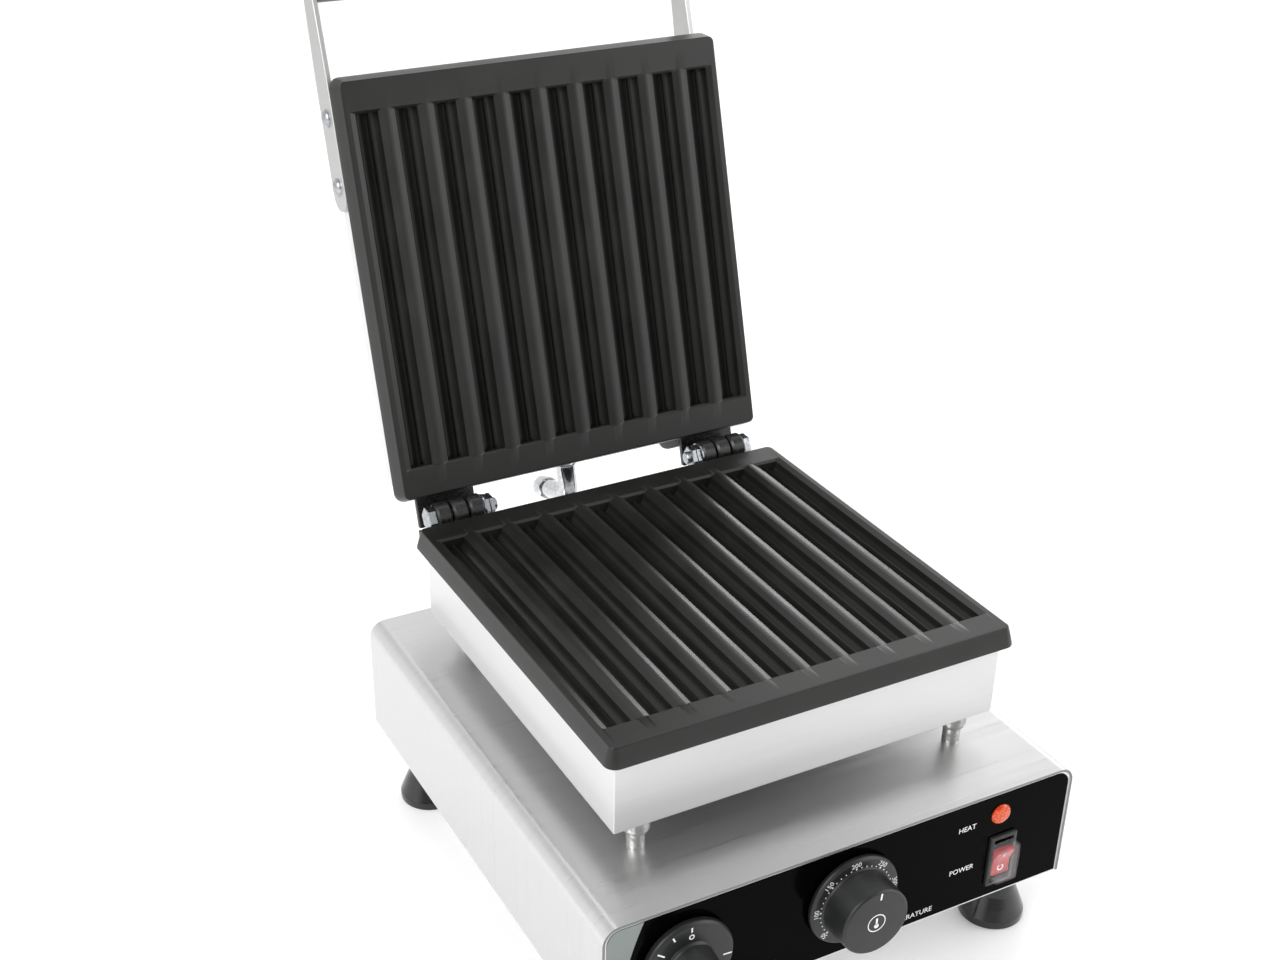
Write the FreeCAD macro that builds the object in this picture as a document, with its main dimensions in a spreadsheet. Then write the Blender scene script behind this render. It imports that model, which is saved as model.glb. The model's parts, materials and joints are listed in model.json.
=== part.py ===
import FreeCAD, Part
import os
import re
import Sketcher

# Stick-waffle baker: two cast plates with long grooves, hinged at the back, on a control box with feet.
# Millimetres, +X to the machine's right, +Y to the back, +Z up. The origin is on the floor, in the middle
# of the machine's overall width and depth with the lid standing open.

SIZES = {
    # control box
    "base_width": 300,
    "rear_overhang": 30.8,
    "base_height": 75,
    "base_sheet": 1.5,
    "base_bend": 10,
    "panel_recess": 0.3,
    "overlay_sheet": 0.5,
    "overlay_margin": 1.2,
    "vent_length": 60,
    "vent_width": 4,
    "vent_pitch": 12,
    "vent_count": 7,
    # feet
    "foot_height": 42,
    "foot_radius": 19.3,
    "foot_rim": 5,
    "foot_waist_radius": 13.6,
    "foot_waist_height": 18.7,
    "foot_neck_radius": 9.5,
    "foot_neck_height": 33,
    "foot_recess_radius": 7.5,
    "foot_recess": 24,
    "foot_inset_x": 22,
    "foot_inset_front": 27,
    "foot_inset_rear": 36,
    # pillars between box and pan
    "standoff_height": 20.3,
    "standoff_radius": 5,
    "collar_radius": 7.5,
    "collar_height": 10.4,
    "stud_radius": 3,
    "stud_reach": 12,
    "nut_flats": 10,
    "nut_height": 5,
    # pans and cast plates
    "pan_inset": 3.5,
    "pan_height": 45.9,
    "pan_sheet": 1.2,
    "cover_height": 34.1,
    "cover_bend": 7,
    "plate_size": 250,
    "plate_front": 39.2,
    "plate_height": 11.4,
    "plate_flare": 3,
    "plate_corner": 3.8,
    "plate_edge": 0.8,
    "plate_gap": 0.8,
    "boss_radius": 8,
    "boss_side": 22,
    "boss_inset": 13.5,
    "lid_boss_inset": 23,
    # grooves of the plates
    "groove_count": 10,
    "groove_pitch": 24.6,
    "groove_width": 21,
    "groove_margin": 17.5,
    "groove_bevel_width": 3.4,
    "groove_bevel_depth": 1.4,
    "ridge_depth": 4.2,
    "valley_radius": 3.4,
    "valley_x": 3.5,
    "groove_depth": 8.2,
    # heating
    "heater_radius": 4,
    "heater_pitch": 56,
    "heater_margin": 62,
    "insulation_margin": 14,
    "insulation_side": 31,
    # hinges
    "hinge_play": 4.2,
    "hinge_drop": 2.5,
    "open_angle": 106.6,
    "knuckle_radius": 9,
    "knuckle_x": 94,
    "knuckle_width": 9.8,
    "knuckle_side": 9.6,
    "knuckle_play": 1.2,
    "bolt_radius": 4,
    "bolt_flats": 13,
    "bolt_head": 5.3,
    "bolt_tail": 2.5,
    "bolt_fit": 0.05,
    "washer_radius": 8,
    "washer_sheet": 1,
    "bolt_nut": 3.2,
    "leaf_inside": 75,
    "leaf_outside": 114,
    "leaf_sheet": 4,
    "leaf_lift": 16,
    "leaf_back": 9,
    "stop_back": 17,
    "flange_height": 30,
    "flange_screw_inset": 8,
    "flange_screw_pitch": 12,
    # small screws
    "screw_radius": 2.5,
    "screw_head_radius": 4.5,
    "screw_head": 2.6,
    "screw_reach": 8,
    "hole_play": 0.2,
    # handle
    "arm_sheet": 3,
    "arm_width": 21,
    "arm_tip_width": 15,
    "arm_rise": 34,
    "arm_rear": 75,
    "arm_taper": 2,
    "handle_reach": 60,
    "handle_screw_front": 19.5,
    "handle_screw_rear": 60,
    "dome_radius": 5.5,
    "dome_height": 3,
    "grip_radius": 13.5,
    # angled outlet of the lid's lead, and the tab beside the right hinge
    "elbow_x": -4,
    "elbow_rise": 31,
    "elbow_out": 14,
    "elbow_radius": 6.2,
    "elbow_hex": 15,
    "elbow_hex_width": 8,
    "elbow_end": 62,
    "elbow_nut_end": 77,
    "elbow_nut_radius": 7.5,
    "elbow_bore": 3.5,
    "elbow_bore_depth": 4,
    "tab_inside": 65,
    "tab_outside": 86,
    "tab_rise": 29,
    "tab_sheet": 1.5,
    "tab_reach": 15,
    "tab_flange": 14,
    # thermostat and timer
    "control_rise": 1.5,
    "dial_x": 1,
    "dial_radius": 28.3,
    "dial_skirt": 4,
    "dial_gap": 1,
    "dial_grip_radius": 21.3,
    "dial_reach": 24,
    "timer_x": -102,
    "timer_radius": 26.6,
    "timer_skirt": 5,
    "timer_grip_radius": 13.5,
    "timer_reach": 22,
    "shaft_radius": 3,
    "shaft_fit": 0.06,
    "shaft_in_knob": 12,
    "shaft_inside": 22,
    "control_body_width": 36,
    "control_body_depth": 30,
    # lamp and rocker switch
    "lamp_x": 99.9,
    "lamp_drop": 16,
    "lamp_radius": 6.3,
    "lamp_reach": 2.8,
    "lamp_round": 2,
    "lamp_body_radius": 5,
    "lamp_body_length": 22,
    "rocker_x": 103.8,
    "rocker_drop": 10.9,
    "rocker_frame_width": 18.4,
    "rocker_frame_height": 35,
    "rocker_frame_sheet": 2,
    "rocker_hole_width": 13.2,
    "rocker_hole_height": 22.4,
    "rocker_wall": 1.5,
    "rocker_body_depth": 22,
    "rocker_width": 12.6,
    "rocker_half_height": 9.5,
    "rocker_pivot_depth": 3,
    "rocker_tilt": 11,
    "rocker_pin_radius": 1.5,
    "rocker_cover_reach": 6.4,
    "rocker_cover_sheet": 1,
    "rocker_cover_inset_x": 1.3,
    "rocker_cover_inset_z": 4.8,
    # wiring
    "terminal_width": 60,
    "terminal_depth": 22,
    "terminal_height": 18,
    "gland_x": 100,
    "gland_z": 24,
    "lead_gland_x": -60,
    "lead_gland_z": 48,
    "gland_thread_radius": 8,
    "gland_flats": 22,
    "gland_hex": 6,
    "gland_reach": 20,
    "gland_bore": 4.5,
    "gland_seal_set": 3,
    # sizes that follow from those above
    "base_depth": "=plate_front + plate_size + rear_overhang",
    "boss_x": "=plate_size / 2 - boss_side",
    "hinge_back": "=knuckle_radius + hinge_play",
    "control_height": "=base_height / 2 + control_rise",
    "lamp_z": "=base_height - lamp_drop",
    "rocker_z": "=base_height / 2 - rocker_drop",
}

doc = FreeCAD.newDocument("stick_waffle_baker")
sheet = doc.addObject("Spreadsheet::Sheet", "dims")
for row, (alias, value) in enumerate(SIZES.items(), start=1):
    sheet.set(f"A{row}", alias)
    sheet.set(f"B{row}", str(value))
    sheet.setAlias(f"B{row}", alias)
doc.recompute()

# Places that many pieces share, as formulas of the driving sizes.
PANEL_BACK = "(panel_recess + overlay_sheet + base_sheet)"
OVERLAY_FRONT = "panel_recess"
PAN_Z = "(base_height + standoff_height)"
PLATE_BACK = "(base_height + standoff_height + pan_height)"
PAN_FRONT = "(plate_front + pan_inset)"
PAN_REAR = "(plate_front + plate_size - pan_inset)"
PAN_SIDE = "(plate_size / 2 - pan_inset)"
HINGE_Y = "(plate_front + plate_size + hinge_back)"
HINGE_Z = "(base_height + standoff_height + pan_height + plate_height - hinge_drop)"
# The same places on the closed lid, measured from the hinge axis.
LID_BACK = "(hinge_drop + plate_gap + plate_height)"
LID_TOP = "(hinge_drop + plate_gap + plate_height + cover_height)"
LID_FRONT = "(-hinge_back - plate_size + pan_inset)"
LID_REAR = "(-hinge_back - pan_inset)"
ARM_Z = "(hinge_drop + plate_gap + arm_rise)"
GRIP_Y = "(-hinge_back - plate_size - handle_reach)"
# The machine's overall depth runs from the thermostat knob to the grip of the open lid.
OPEN_REAR = f"({HINGE_Y} + {GRIP_Y} * cos(open_angle) + {ARM_Z} * sin(open_angle) + grip_radius)"
CENTRE_Y = f"(({OPEN_REAR} - dial_reach) / 2)"

ANGLES = ("open_angle", "rocker_tilt")
AXES = {
    "X": FreeCAD.Rotation(FreeCAD.Vector(0, 1, 0), 90),
    "Y": FreeCAD.Rotation(FreeCAD.Vector(1, 0, 0), -90),
    "Z": FreeCAD.Rotation(),
}
pieces = {}


def bound(formula):
    """The formula with each size written as a reference to the sheet, and angles in degrees."""

    def reference(found):
        word = found.group()
        if word not in SIZES:
            return word
        return f"(dims.{word} * 1 deg)" if word in ANGLES else f"dims.{word}"

    return re.sub(r"[a-z_]+", reference, str(formula))


def bind(thing, formulas):
    """Ties properties of a document object to formulas of the sheet."""
    for prop, formula in formulas.items():
        thing.setExpression(prop, bound(formula))


def number(formula):
    """What a formula is worth now, for the first shape of a sketch that is then tied to it."""
    worth = sheet.evalExpression(bound(formula))
    return float(getattr(worth, "Value", worth))


def move(thing, at):
    """Ties the place of an object to three formulas."""
    bind(thing, {f"Placement.Base.{axis}": formula for axis, formula in zip("xyz", at)})


def block(name, x, y, z):
    """A box between two planes along each axis."""
    solid = doc.addObject("Part::Box", name)
    for prop, (low, high) in zip(("Length", "Width", "Height"), (x, y, z)):
        bind(solid, {prop: f"({high}) - ({low})"})
    move(solid, (x[0], y[0], z[0]))
    return solid


def rod(name, axis, start, radius, length):
    """A cylinder that runs from a point along +X, +Y or +Z."""
    solid = doc.addObject("Part::Cylinder", name)
    bind(solid, {"Radius": radius, "Height": length})
    solid.Placement.Rotation = AXES[axis]
    move(solid, start)
    return solid


def hexagon(name, axis, start, flats, length):
    """A hexagonal prism, given across its flats, that runs from a point along an axis."""
    solid = doc.addObject("Part::Prism", name)
    solid.Polygon = 6
    bind(solid, {"Circumradius": f"({flats}) / sqrt(3)", "Height": length})
    solid.Placement.Rotation = AXES[axis]
    move(solid, start)
    return solid


def cut(name, base, *tools):
    """The base with the tools taken out of it."""
    solid = doc.addObject("Part::Cut", name)
    solid.Base = base
    solid.Tool = tools[0] if len(tools) == 1 else together(name + "_tools", tools)
    return solid


def fuse(name, *members):
    """Several solids made into one."""
    solid = doc.addObject("Part::MultiFuse", name)
    solid.Shapes = list(members)
    return solid


def together(name, members):
    """Separate solids kept side by side in one object."""
    group = doc.addObject("Part::Compound", name)
    group.Links = list(members)
    return group


def rounded(name, solid, radius, chosen):
    """A solid with a fillet on the edges that the test picks."""
    doc.recompute()
    fillet = doc.addObject("Part::Fillet", name)
    fillet.Base = solid
    size = number(radius)
    edges = solid.Shape.Edges
    fillet.Edges = [(n, size, size) for n, edge in enumerate(edges, start=1) if chosen(edge)]
    return fillet


def runs_along(edge, axis):
    """Whether an edge is straight and parallel to X, Y or Z."""
    ends = edge.Vertexes
    if len(ends) != 2 or not isinstance(edge.Curve, Part.Line):
        return False
    step = ends[1].Point - ends[0].Point
    return abs(getattr(step, axis)) > 0.999 * step.Length


def sketch_on(body, name, role, offset):
    """A sketch on one of the body's own origin planes, moved by three formulas in the sketch's axes."""
    sketch = body.newObject("Sketcher::SketchObject", name)
    plane = next(feature for feature in body.Origin.OriginFeatures if feature.Role == role)
    sketch.AttachmentSupport = (plane, "")
    sketch.MapMode = "FlatFace"
    bind(sketch, {f"AttachmentOffset.Base.{axis}": formula for axis, formula in zip("xyz", offset)})
    return sketch


def outline(body, name, role, offset, corners):
    """A closed outline of straight lines, each corner tied to two formulas."""
    sketch = sketch_on(body, name, role, offset)
    points = [FreeCAD.Vector(number(x), number(y), 0) for x, y in corners]
    for n, point in enumerate(points):
        sketch.addGeometry(Part.LineSegment(point, points[(n + 1) % len(points)]), False)
    for n, (x, y) in enumerate(corners):
        sketch.addConstraint(Sketcher.Constraint("Coincident", n, 2, (n + 1) % len(corners), 1))
        for axis, formula in (("X", x), ("Y", y)):
            made = sketch.addConstraint(Sketcher.Constraint("Distance" + axis, -1, 1, n, 1, number(formula)))
            sketch.renameConstraint(made, f"corner{n}{axis}")
            bind(sketch, {f"Constraints.corner{n}{axis}": formula})
    return sketch


def circles(body, name, role, offset, rounds):
    """Circles, each tied to two formulas for its centre and one for its radius."""
    sketch = sketch_on(body, name, role, offset)
    for n, (x, y, radius) in enumerate(rounds):
        centre = FreeCAD.Vector(number(x), number(y), 0)
        sketch.addGeometry(Part.Circle(centre, FreeCAD.Vector(0, 0, 1), number(radius)), False)
        ties = (
            ("X", x, Sketcher.Constraint("DistanceX", -1, 1, n, 3, number(x))),
            ("Y", y, Sketcher.Constraint("DistanceY", -1, 1, n, 3, number(y))),
            ("Size", radius, Sketcher.Constraint("Radius", n, number(radius))),
        )
        for word, formula, constraint in ties:
            made = sketch.addConstraint(constraint)
            sketch.renameConstraint(made, f"round{n}{word}")
            bind(sketch, {f"Constraints.round{n}{word}": formula})
    return sketch


def turned(name, axis, centre, profile):
    """A body of revolution about Y or Z; the profile gives the radius and the place along the axis."""
    body = doc.addObject("PartDesign::Body", name)
    if axis == "Z":
        role, offset = "XZ_Plane", (centre[0], "0", f"-({centre[1]})")
    else:
        role, offset = "XY_Plane", (centre[0], "0", centre[1])
    sketch = outline(body, name + "_profile", role, offset, profile)
    turn = body.newObject("PartDesign::Revolution", name + "_turned")
    turn.Profile = sketch
    turn.ReferenceAxis = (sketch, ["V_Axis"])
    turn.Angle = 360
    sketch.Visibility = False
    return body


def pad(body, name, sketch, length, reverse=False):
    """Material added from a sketch."""
    feature = body.newObject("PartDesign::Pad", name)
    feature.Profile = sketch
    feature.Reversed = reverse
    bind(feature, {"Length": length})
    return feature


def pocket(body, name, sketch, length, reverse=False):
    """Material removed from a sketch, with a test that something was removed."""
    doc.recompute()
    before = body.Shape.Volume
    feature = body.newObject("PartDesign::Pocket", name)
    feature.Profile = sketch
    feature.Reversed = reverse
    bind(feature, {"Length": length})
    doc.recompute()
    if body.Shape.Volume >= before:
        raise RuntimeError(f"{name} removes nothing")
    return feature


def on_base(label, thing):
    """A finished piece of the base, which is drawn from the box's front bottom edge."""
    move(thing, ("0", f"-{CENTRE_Y}", "foot_height"))
    thing.Label = label
    pieces[label] = thing


def on_lid(label, thing):
    """A finished piece of the lid, which is drawn closed from the hinge axis and stands open."""
    thing.Placement.Rotation = FreeCAD.Rotation(FreeCAD.Vector(-1, 0, 0), 1)
    move(thing, ("0", f"{HINGE_Y} - {CENTRE_Y}", f"{HINGE_Z} + foot_height"))
    bind(thing, {"Placement.Rotation.Angle": "open_angle"})
    thing.Label = label
    pieces[label] = thing


def across(side, near, far):
    """Two planes across X at the given distances on the left (-1) or right (+1)."""
    return (near, far) if side > 0 else (f"-({far})", f"-({near})")


def centred(middle, half_width):
    """Two planes at the same distance on both sides of a middle."""
    return (f"{middle} - ({half_width})", f"{middle} + ({half_width})")


SIDES = (("left", -1), ("right", 1))


# --- control box --------------------------------------------------------------------------------------

def base_shell():
    """Top and two sides folded from one sheet, with holes for the pillars' studs."""
    half = "base_width / 2"
    outer = block("shell_outer", (f"-{half}", half), ("0", "base_depth"), ("0", "base_height"))
    top = number("base_height")
    outer = rounded(
        "shell_bends", outer, "base_bend", lambda edge: runs_along(edge, "y") and edge.CenterOfMass.z > top - 1
    )
    inner = block(
        "shell_inner",
        (f"-{half} + base_sheet", f"{half} - base_sheet"),
        ("-1", "base_depth + 1"),
        ("-1", "base_height - base_sheet"),
    )
    ceiling = number("base_height - base_sheet")
    inner = rounded(
        "shell_inner_bends",
        inner,
        "base_bend - base_sheet",
        lambda edge: runs_along(edge, "y") and edge.CenterOfMass.z > ceiling - 1,
    )
    holes = [
        rod(f"shell_hole_{n}", "Z", (x, y, "base_height - 5"), "stud_radius + hole_play", "10")
        for n, (x, y) in enumerate(pillar_places())
    ]
    on_base("base_shell", cut("shell", outer, inner, *holes))


def pillar_places():
    """Centres of the four pillars, which stand under the plate's bosses."""
    front = "plate_front + boss_inset"
    rear = "plate_front + plate_size - boss_inset"
    return [("-boss_x", front), ("boss_x", front), ("-boss_x", rear), ("boss_x", rear)]


def panel_blank(name, y, margin):
    """A sheet that fills the box's front or rear opening, with its upper corners rounded."""
    half = f"base_width / 2 - base_sheet - {margin}"
    top = f"base_height - base_sheet - {margin}"
    blank = block(name + "_flat", (f"-({half})", half), y, (margin, top))
    edge_z = number(top)
    return rounded(
        name + "_round",
        blank,
        f"base_bend - base_sheet - {margin} / 2",
        lambda edge: runs_along(edge, "y") and edge.CenterOfMass.z > edge_z - 1,
    )


def front_holes(name):
    """Cutters for everything that passes through the front."""
    places = (("timer", "timer_x"), ("dial", "dial_x"))
    cutters = [
        rod(f"{name}_{word}_hole", "Y", (x, "-5", "control_height"), "shaft_radius + 2", "20") for word, x in places
    ]
    cutters.append(rod(f"{name}_lamp_hole", "Y", ("lamp_x", "-5", "lamp_z"), "lamp_body_radius", "20"))
    cutters.append(
        block(
            f"{name}_rocker_hole",
            centred("rocker_x", "rocker_hole_width / 2 + rocker_wall"),
            ("-5", "15"),
            centred("rocker_z", "rocker_hole_height / 2 + rocker_wall"),
        )
    )
    return cutters


def front():
    """The steel front and the printed overlay on it."""
    overlay_back = "panel_recess + overlay_sheet"
    steel = panel_blank("front_steel", (overlay_back, PANEL_BACK), "0")
    on_base("front_panel", cut("front_cut", steel, *front_holes("front")))
    film = panel_blank("overlay_film", (OVERLAY_FRONT, overlay_back), "overlay_margin")
    on_base("control_overlay", cut("overlay_cut", film, *front_holes("overlay")))


def rear():
    """The steel back with the holes of the two cable glands, and the slotted floor of the box."""
    plate = panel_blank("rear_steel", ("base_depth - base_sheet", "base_depth"), "0")
    holes = [
        rod(f"rear_hole_{n}", "Y", (x, "base_depth - 10", z), "gland_thread_radius", "20")
        for n, (x, z) in enumerate(gland_places())
    ]
    on_base("rear_panel", cut("rear_cut", plate, *holes))
    floor = block(
        "floor_flat",
        ("-base_width / 2 + base_sheet", "base_width / 2 - base_sheet"),
        (PANEL_BACK, "base_depth - base_sheet"),
        ("0", "base_sheet"),
    )
    holes = [
        rod(f"floor_hole_{n}", "Z", (x, y, "-5"), "stud_radius + hole_play", "10")
        for n, (x, y) in enumerate(foot_places())
    ]
    for n in range(int(SIZES["vent_count"])):
        y = f"base_depth / 2 + ({n} - (vent_count - 1) / 2) * vent_pitch"
        holes.append(
            block(
                f"vent_{n}",
                ("-vent_length / 2", "vent_length / 2"),
                (f"{y} - vent_width / 2", f"{y} + vent_width / 2"),
                ("-1", "base_sheet + 1"),
            )
        )
    on_base("bottom_plate", cut("floor_cut", floor, *holes))


def gland_places():
    """Centres of the two glands in the back: the mains inlet and the lid's lead."""
    return [("gland_x", "gland_z"), ("lead_gland_x", "lead_gland_z")]


# --- feet and pillars ---------------------------------------------------------------------------------

def foot_places():
    """Centres of the four feet."""
    left, right = "-base_width / 2 + foot_inset_x", "base_width / 2 - foot_inset_x"
    near, back = "foot_inset_front", "base_depth - foot_inset_rear"
    return [(left, near), (right, near), (left, back), (right, back)]


PLACE_WORDS = ("front_left", "front_right", "rear_left", "rear_right")


def feet():
    """Conical feet with a recess below for the screw, and the screws and nuts that hold them."""
    floor = "-foot_height"
    screws, nuts = [], []
    for n, (word, (x, y)) in enumerate(zip(PLACE_WORDS, foot_places())):
        profile = [
            ("foot_recess_radius", floor),
            ("foot_radius", floor),
            ("foot_radius", f"{floor} + foot_rim"),
            ("foot_waist_radius", f"{floor} + foot_waist_height"),
            ("foot_neck_radius", f"{floor} + foot_neck_height"),
            ("foot_neck_radius", "0"),
            ("stud_radius + hole_play", "0"),
            ("stud_radius + hole_play", f"{floor} + foot_recess"),
            ("foot_recess_radius", f"{floor} + foot_recess"),
        ]
        on_base(f"foot_{word}", turned(f"cone_{word}", "Z", (x, y), profile))
        seat = f"{floor} + foot_recess"
        head = rod(f"foot_screw_head_{n}", "Z", (x, y, f"{seat} - 4"), "2 * stud_radius", "4")
        shank = rod(f"foot_screw_shank_{n}", "Z", (x, y, seat), "stud_radius", "foot_height - foot_recess + 9")
        screws.append(fuse(f"foot_screw_{n}", head, shank))
        hexed = hexagon(f"foot_nut_hex_{n}", "Z", (x, y, "base_sheet"), "nut_flats", "nut_height")
        bore = rod(f"foot_nut_bore_{n}", "Z", (x, y, "0"), "stud_radius", "20")
        nuts.append(cut(f"foot_nut_{n}", hexed, bore))
    on_base("foot_screws", together("foot_screw_set", screws))
    on_base("foot_nuts", together("foot_nut_set", nuts))


def standoffs():
    """Collared pillars with a stud at each end: the lower one takes a nut, the upper one a boss."""
    nuts = []
    for n, (word, (x, y)) in enumerate(zip(PLACE_WORDS, pillar_places())):
        under = "base_height - base_sheet - nut_height - 3"
        over = f"{PAN_Z} + pan_sheet + stud_reach"
        collar = f"{PAN_Z} - collar_height"
        profile = [
            ("0", under),
            ("stud_radius", under),
            ("stud_radius", "base_height"),
            ("standoff_radius", "base_height"),
            ("standoff_radius", collar),
            ("collar_radius", collar),
            ("collar_radius", PAN_Z),
            ("stud_radius", PAN_Z),
            ("stud_radius", over),
            ("0", over),
        ]
        on_base(f"standoff_{word}", turned(f"pillar_{word}", "Z", (x, y), profile))
        seat = "base_height - base_sheet - nut_height"
        hexed = hexagon(f"pillar_nut_hex_{n}", "Z", (x, y, seat), "nut_flats", "nut_height")
        bore = rod(f"pillar_nut_bore_{n}", "Z", (x, y, f"{seat} - 5"), "stud_radius", "20")
        nuts.append(cut(f"pillar_nut_{n}", hexed, bore))
    on_base("standoff_nuts", together("pillar_nut_set", nuts))


# --- baking plates, pans and heating ------------------------------------------------------------------

def baking_plate(name, front_y, back_z, up, boss_end, inset):
    """A cast plate with flared sides, long grooves in its face and four bosses on its back.

    up is 1 for a plate that faces up and -1 for one that faces down. inset is how far the bosses stand
    from the plate's front and rear edges.
    """
    body = doc.addObject("PartDesign::Body", name)
    sign = "" if up > 0 else "-"
    face_z = f"{back_z} + ({sign}plate_height)"
    half = "(plate_size / 2 + plate_flare)"
    near, far = f"{front_y} - plate_flare", f"{front_y} + plate_size + plate_flare"
    corners = [(f"-{half}", near), (half, near), (half, far), (f"-{half}", far)]
    back = outline(body, name + "_back", "XY_Plane", ("0", "0", back_z), corners)
    slab = pad(body, name + "_slab", back, "plate_height", reverse=up < 0)
    bind(slab, {"TaperAngle": "-atan(plate_flare / plate_height)"})
    doc.recompute()

    def picked(test):
        return [f"Edge{n}" for n, edge in enumerate(body.Shape.Edges, start=1) if test(edge)]

    face_number = number(face_z)
    middle = number(back_z) + up * number("plate_height") / 2
    corner = body.newObject("PartDesign::Fillet", name + "_corners")
    corner.Base = (slab, picked(lambda edge: abs(edge.CenterOfMass.z - middle) < 1))
    bind(corner, {"Radius": "plate_corner"})
    doc.recompute()
    rim = body.newObject("PartDesign::Fillet", name + "_rim")
    rim.Base = (corner, picked(lambda edge: abs(edge.CenterOfMass.z - face_number) < 0.01))
    bind(rim, {"Radius": "plate_edge"})

    def level(depth):
        return f"{face_z} - ({sign}({depth}))"

    # One groove at the left end, then the pattern: a bevelled trough over two round valleys.
    first_x = "-(groove_count - 1) / 2 * groove_pitch"
    edge_x, wall_x = "groove_width / 2", "groove_width / 2 - groove_bevel_width"
    start = ("0", "0", f"-({front_y} + groove_margin)")
    trough = [
        (f"{first_x} - ({edge_x})", face_z),
        (f"{first_x} - ({wall_x})", level("groove_bevel_depth")),
        (f"{first_x} - ({wall_x})", level("ridge_depth")),
        (f"{first_x} + ({wall_x})", level("ridge_depth")),
        (f"{first_x} + ({wall_x})", level("groove_bevel_depth")),
        (f"{first_x} + ({edge_x})", face_z),
    ]
    length = "plate_size - 2 * groove_margin"
    section = outline(body, name + "_trough", "XZ_Plane", start, trough)
    upper = pocket(body, name + "_trough_cut", section, length)
    sunk = level("groove_depth - valley_radius")
    rounds = [(f"{first_x} {side} valley_x", sunk, "valley_radius") for side in "-+"]
    cuts = [upper]
    for n, spot in enumerate(rounds):
        valley = circles(body, f"{name}_valley_{n}", "XZ_Plane", start, [spot])
        cuts.append(pocket(body, f"{name}_valley_cut_{n}", valley, length))
    row = body.newObject("PartDesign::LinearPattern", name + "_row")
    row.Originals = cuts
    row.Direction = (next(f for f in body.Origin.OriginFeatures if f.Role == "X_Axis"), [""])
    bind(row, {"Length": "(groove_count - 1) * groove_pitch", "Occurrences": "groove_count"})
    body.Tip = row
    doc.recompute()

    # Bosses on the back, each with a threaded bore.
    boss_y = (f"{front_y} + {inset}", f"{front_y} + plate_size - {inset}")
    spots = [(x, y) for x in ("-boss_x", "boss_x") for y in boss_y]
    bosses = circles(body, name + "_bosses", "XY_Plane", ("0", "0", back_z), [s + ("boss_radius",) for s in spots])
    pad(body, name + "_boss_pad", bosses, f"abs({boss_end} - {back_z})", reverse=up > 0)
    bores = circles(body, name + "_bores", "XY_Plane", ("0", "0", boss_end), [s + ("stud_radius",) for s in spots])
    pocket(body, name + "_bore_cut", bores, "stud_reach + 2", reverse=up > 0)
    return body


def heating(name, front_y, back_z, up, floor_z):
    """A bent tubular element against a plate's back, and the insulating slab that holds it there."""
    side = "" if up > 0 else "-"
    level = f"{back_z} - ({side}heater_radius)"
    near, far = f"{front_y} + heater_margin", f"{front_y} + plate_size - heater_margin"
    members = []
    for n in range(4):
        x = f"({n} - 1.5) * heater_pitch"
        members.append(rod(f"{name}_run_{n}", "Y", (x, near, level), "heater_radius", f"{far} - ({near})"))
    for n, (x, y, turn) in enumerate((("-heater_pitch", far, 0), ("0", near, 180), ("heater_pitch", far, 0))):
        bend = doc.addObject("Part::Torus", f"{name}_bend_{n}")
        bind(bend, {"Radius1": "heater_pitch / 2", "Radius2": "heater_radius"})
        bend.Angle3 = 180
        bend.Placement.Rotation = FreeCAD.Rotation(FreeCAD.Vector(0, 0, 1), turn)
        move(bend, (x, y, level))
        members.append(bend)
    tube = fuse(name + "_tube", *members)
    half = "(plate_size / 2 - insulation_side)"
    edge = f"{back_z} - ({side}2 * heater_radius)"
    slab = block(
        name + "_wool",
        (f"-{half}", half),
        (f"{front_y} + insulation_margin", f"{front_y} + plate_size - insulation_margin"),
        (floor_z, edge) if up > 0 else (edge, floor_z),
    )
    return tube, together(name + "_slab", [slab])


def pan_shell(name, y, z, floor_high, bend):
    """An open tray drawn from sheet: its floor is at the top or at the bottom."""
    half = PAN_SIDE
    outer = block(name + "_outer", (f"-{half}", half), y, z)
    inner_z = (f"{z[0]} - 1", f"{z[1]} - pan_sheet") if floor_high else (f"{z[0]} + pan_sheet", f"{z[1]} + 1")
    inner = block(
        name + "_inner",
        (f"-{half} + pan_sheet", f"{half} - pan_sheet"),
        (f"{y[0]} + pan_sheet", f"{y[1]} - pan_sheet"),
        inner_z,
    )
    if bend:
        top, ceiling = number(z[1]), number(inner_z[1])
        outer = rounded(
            name + "_bends",
            outer,
            bend,
            lambda edge: abs(edge.CenterOfMass.z - top) < 0.01 and not runs_along(edge, "z"),
        )
        inner = rounded(
            name + "_inner_bends",
            inner,
            f"{bend} - pan_sheet",
            lambda edge: abs(edge.CenterOfMass.z - ceiling) < 0.01 and not runs_along(edge, "z"),
        )
    return outer, inner


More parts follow.
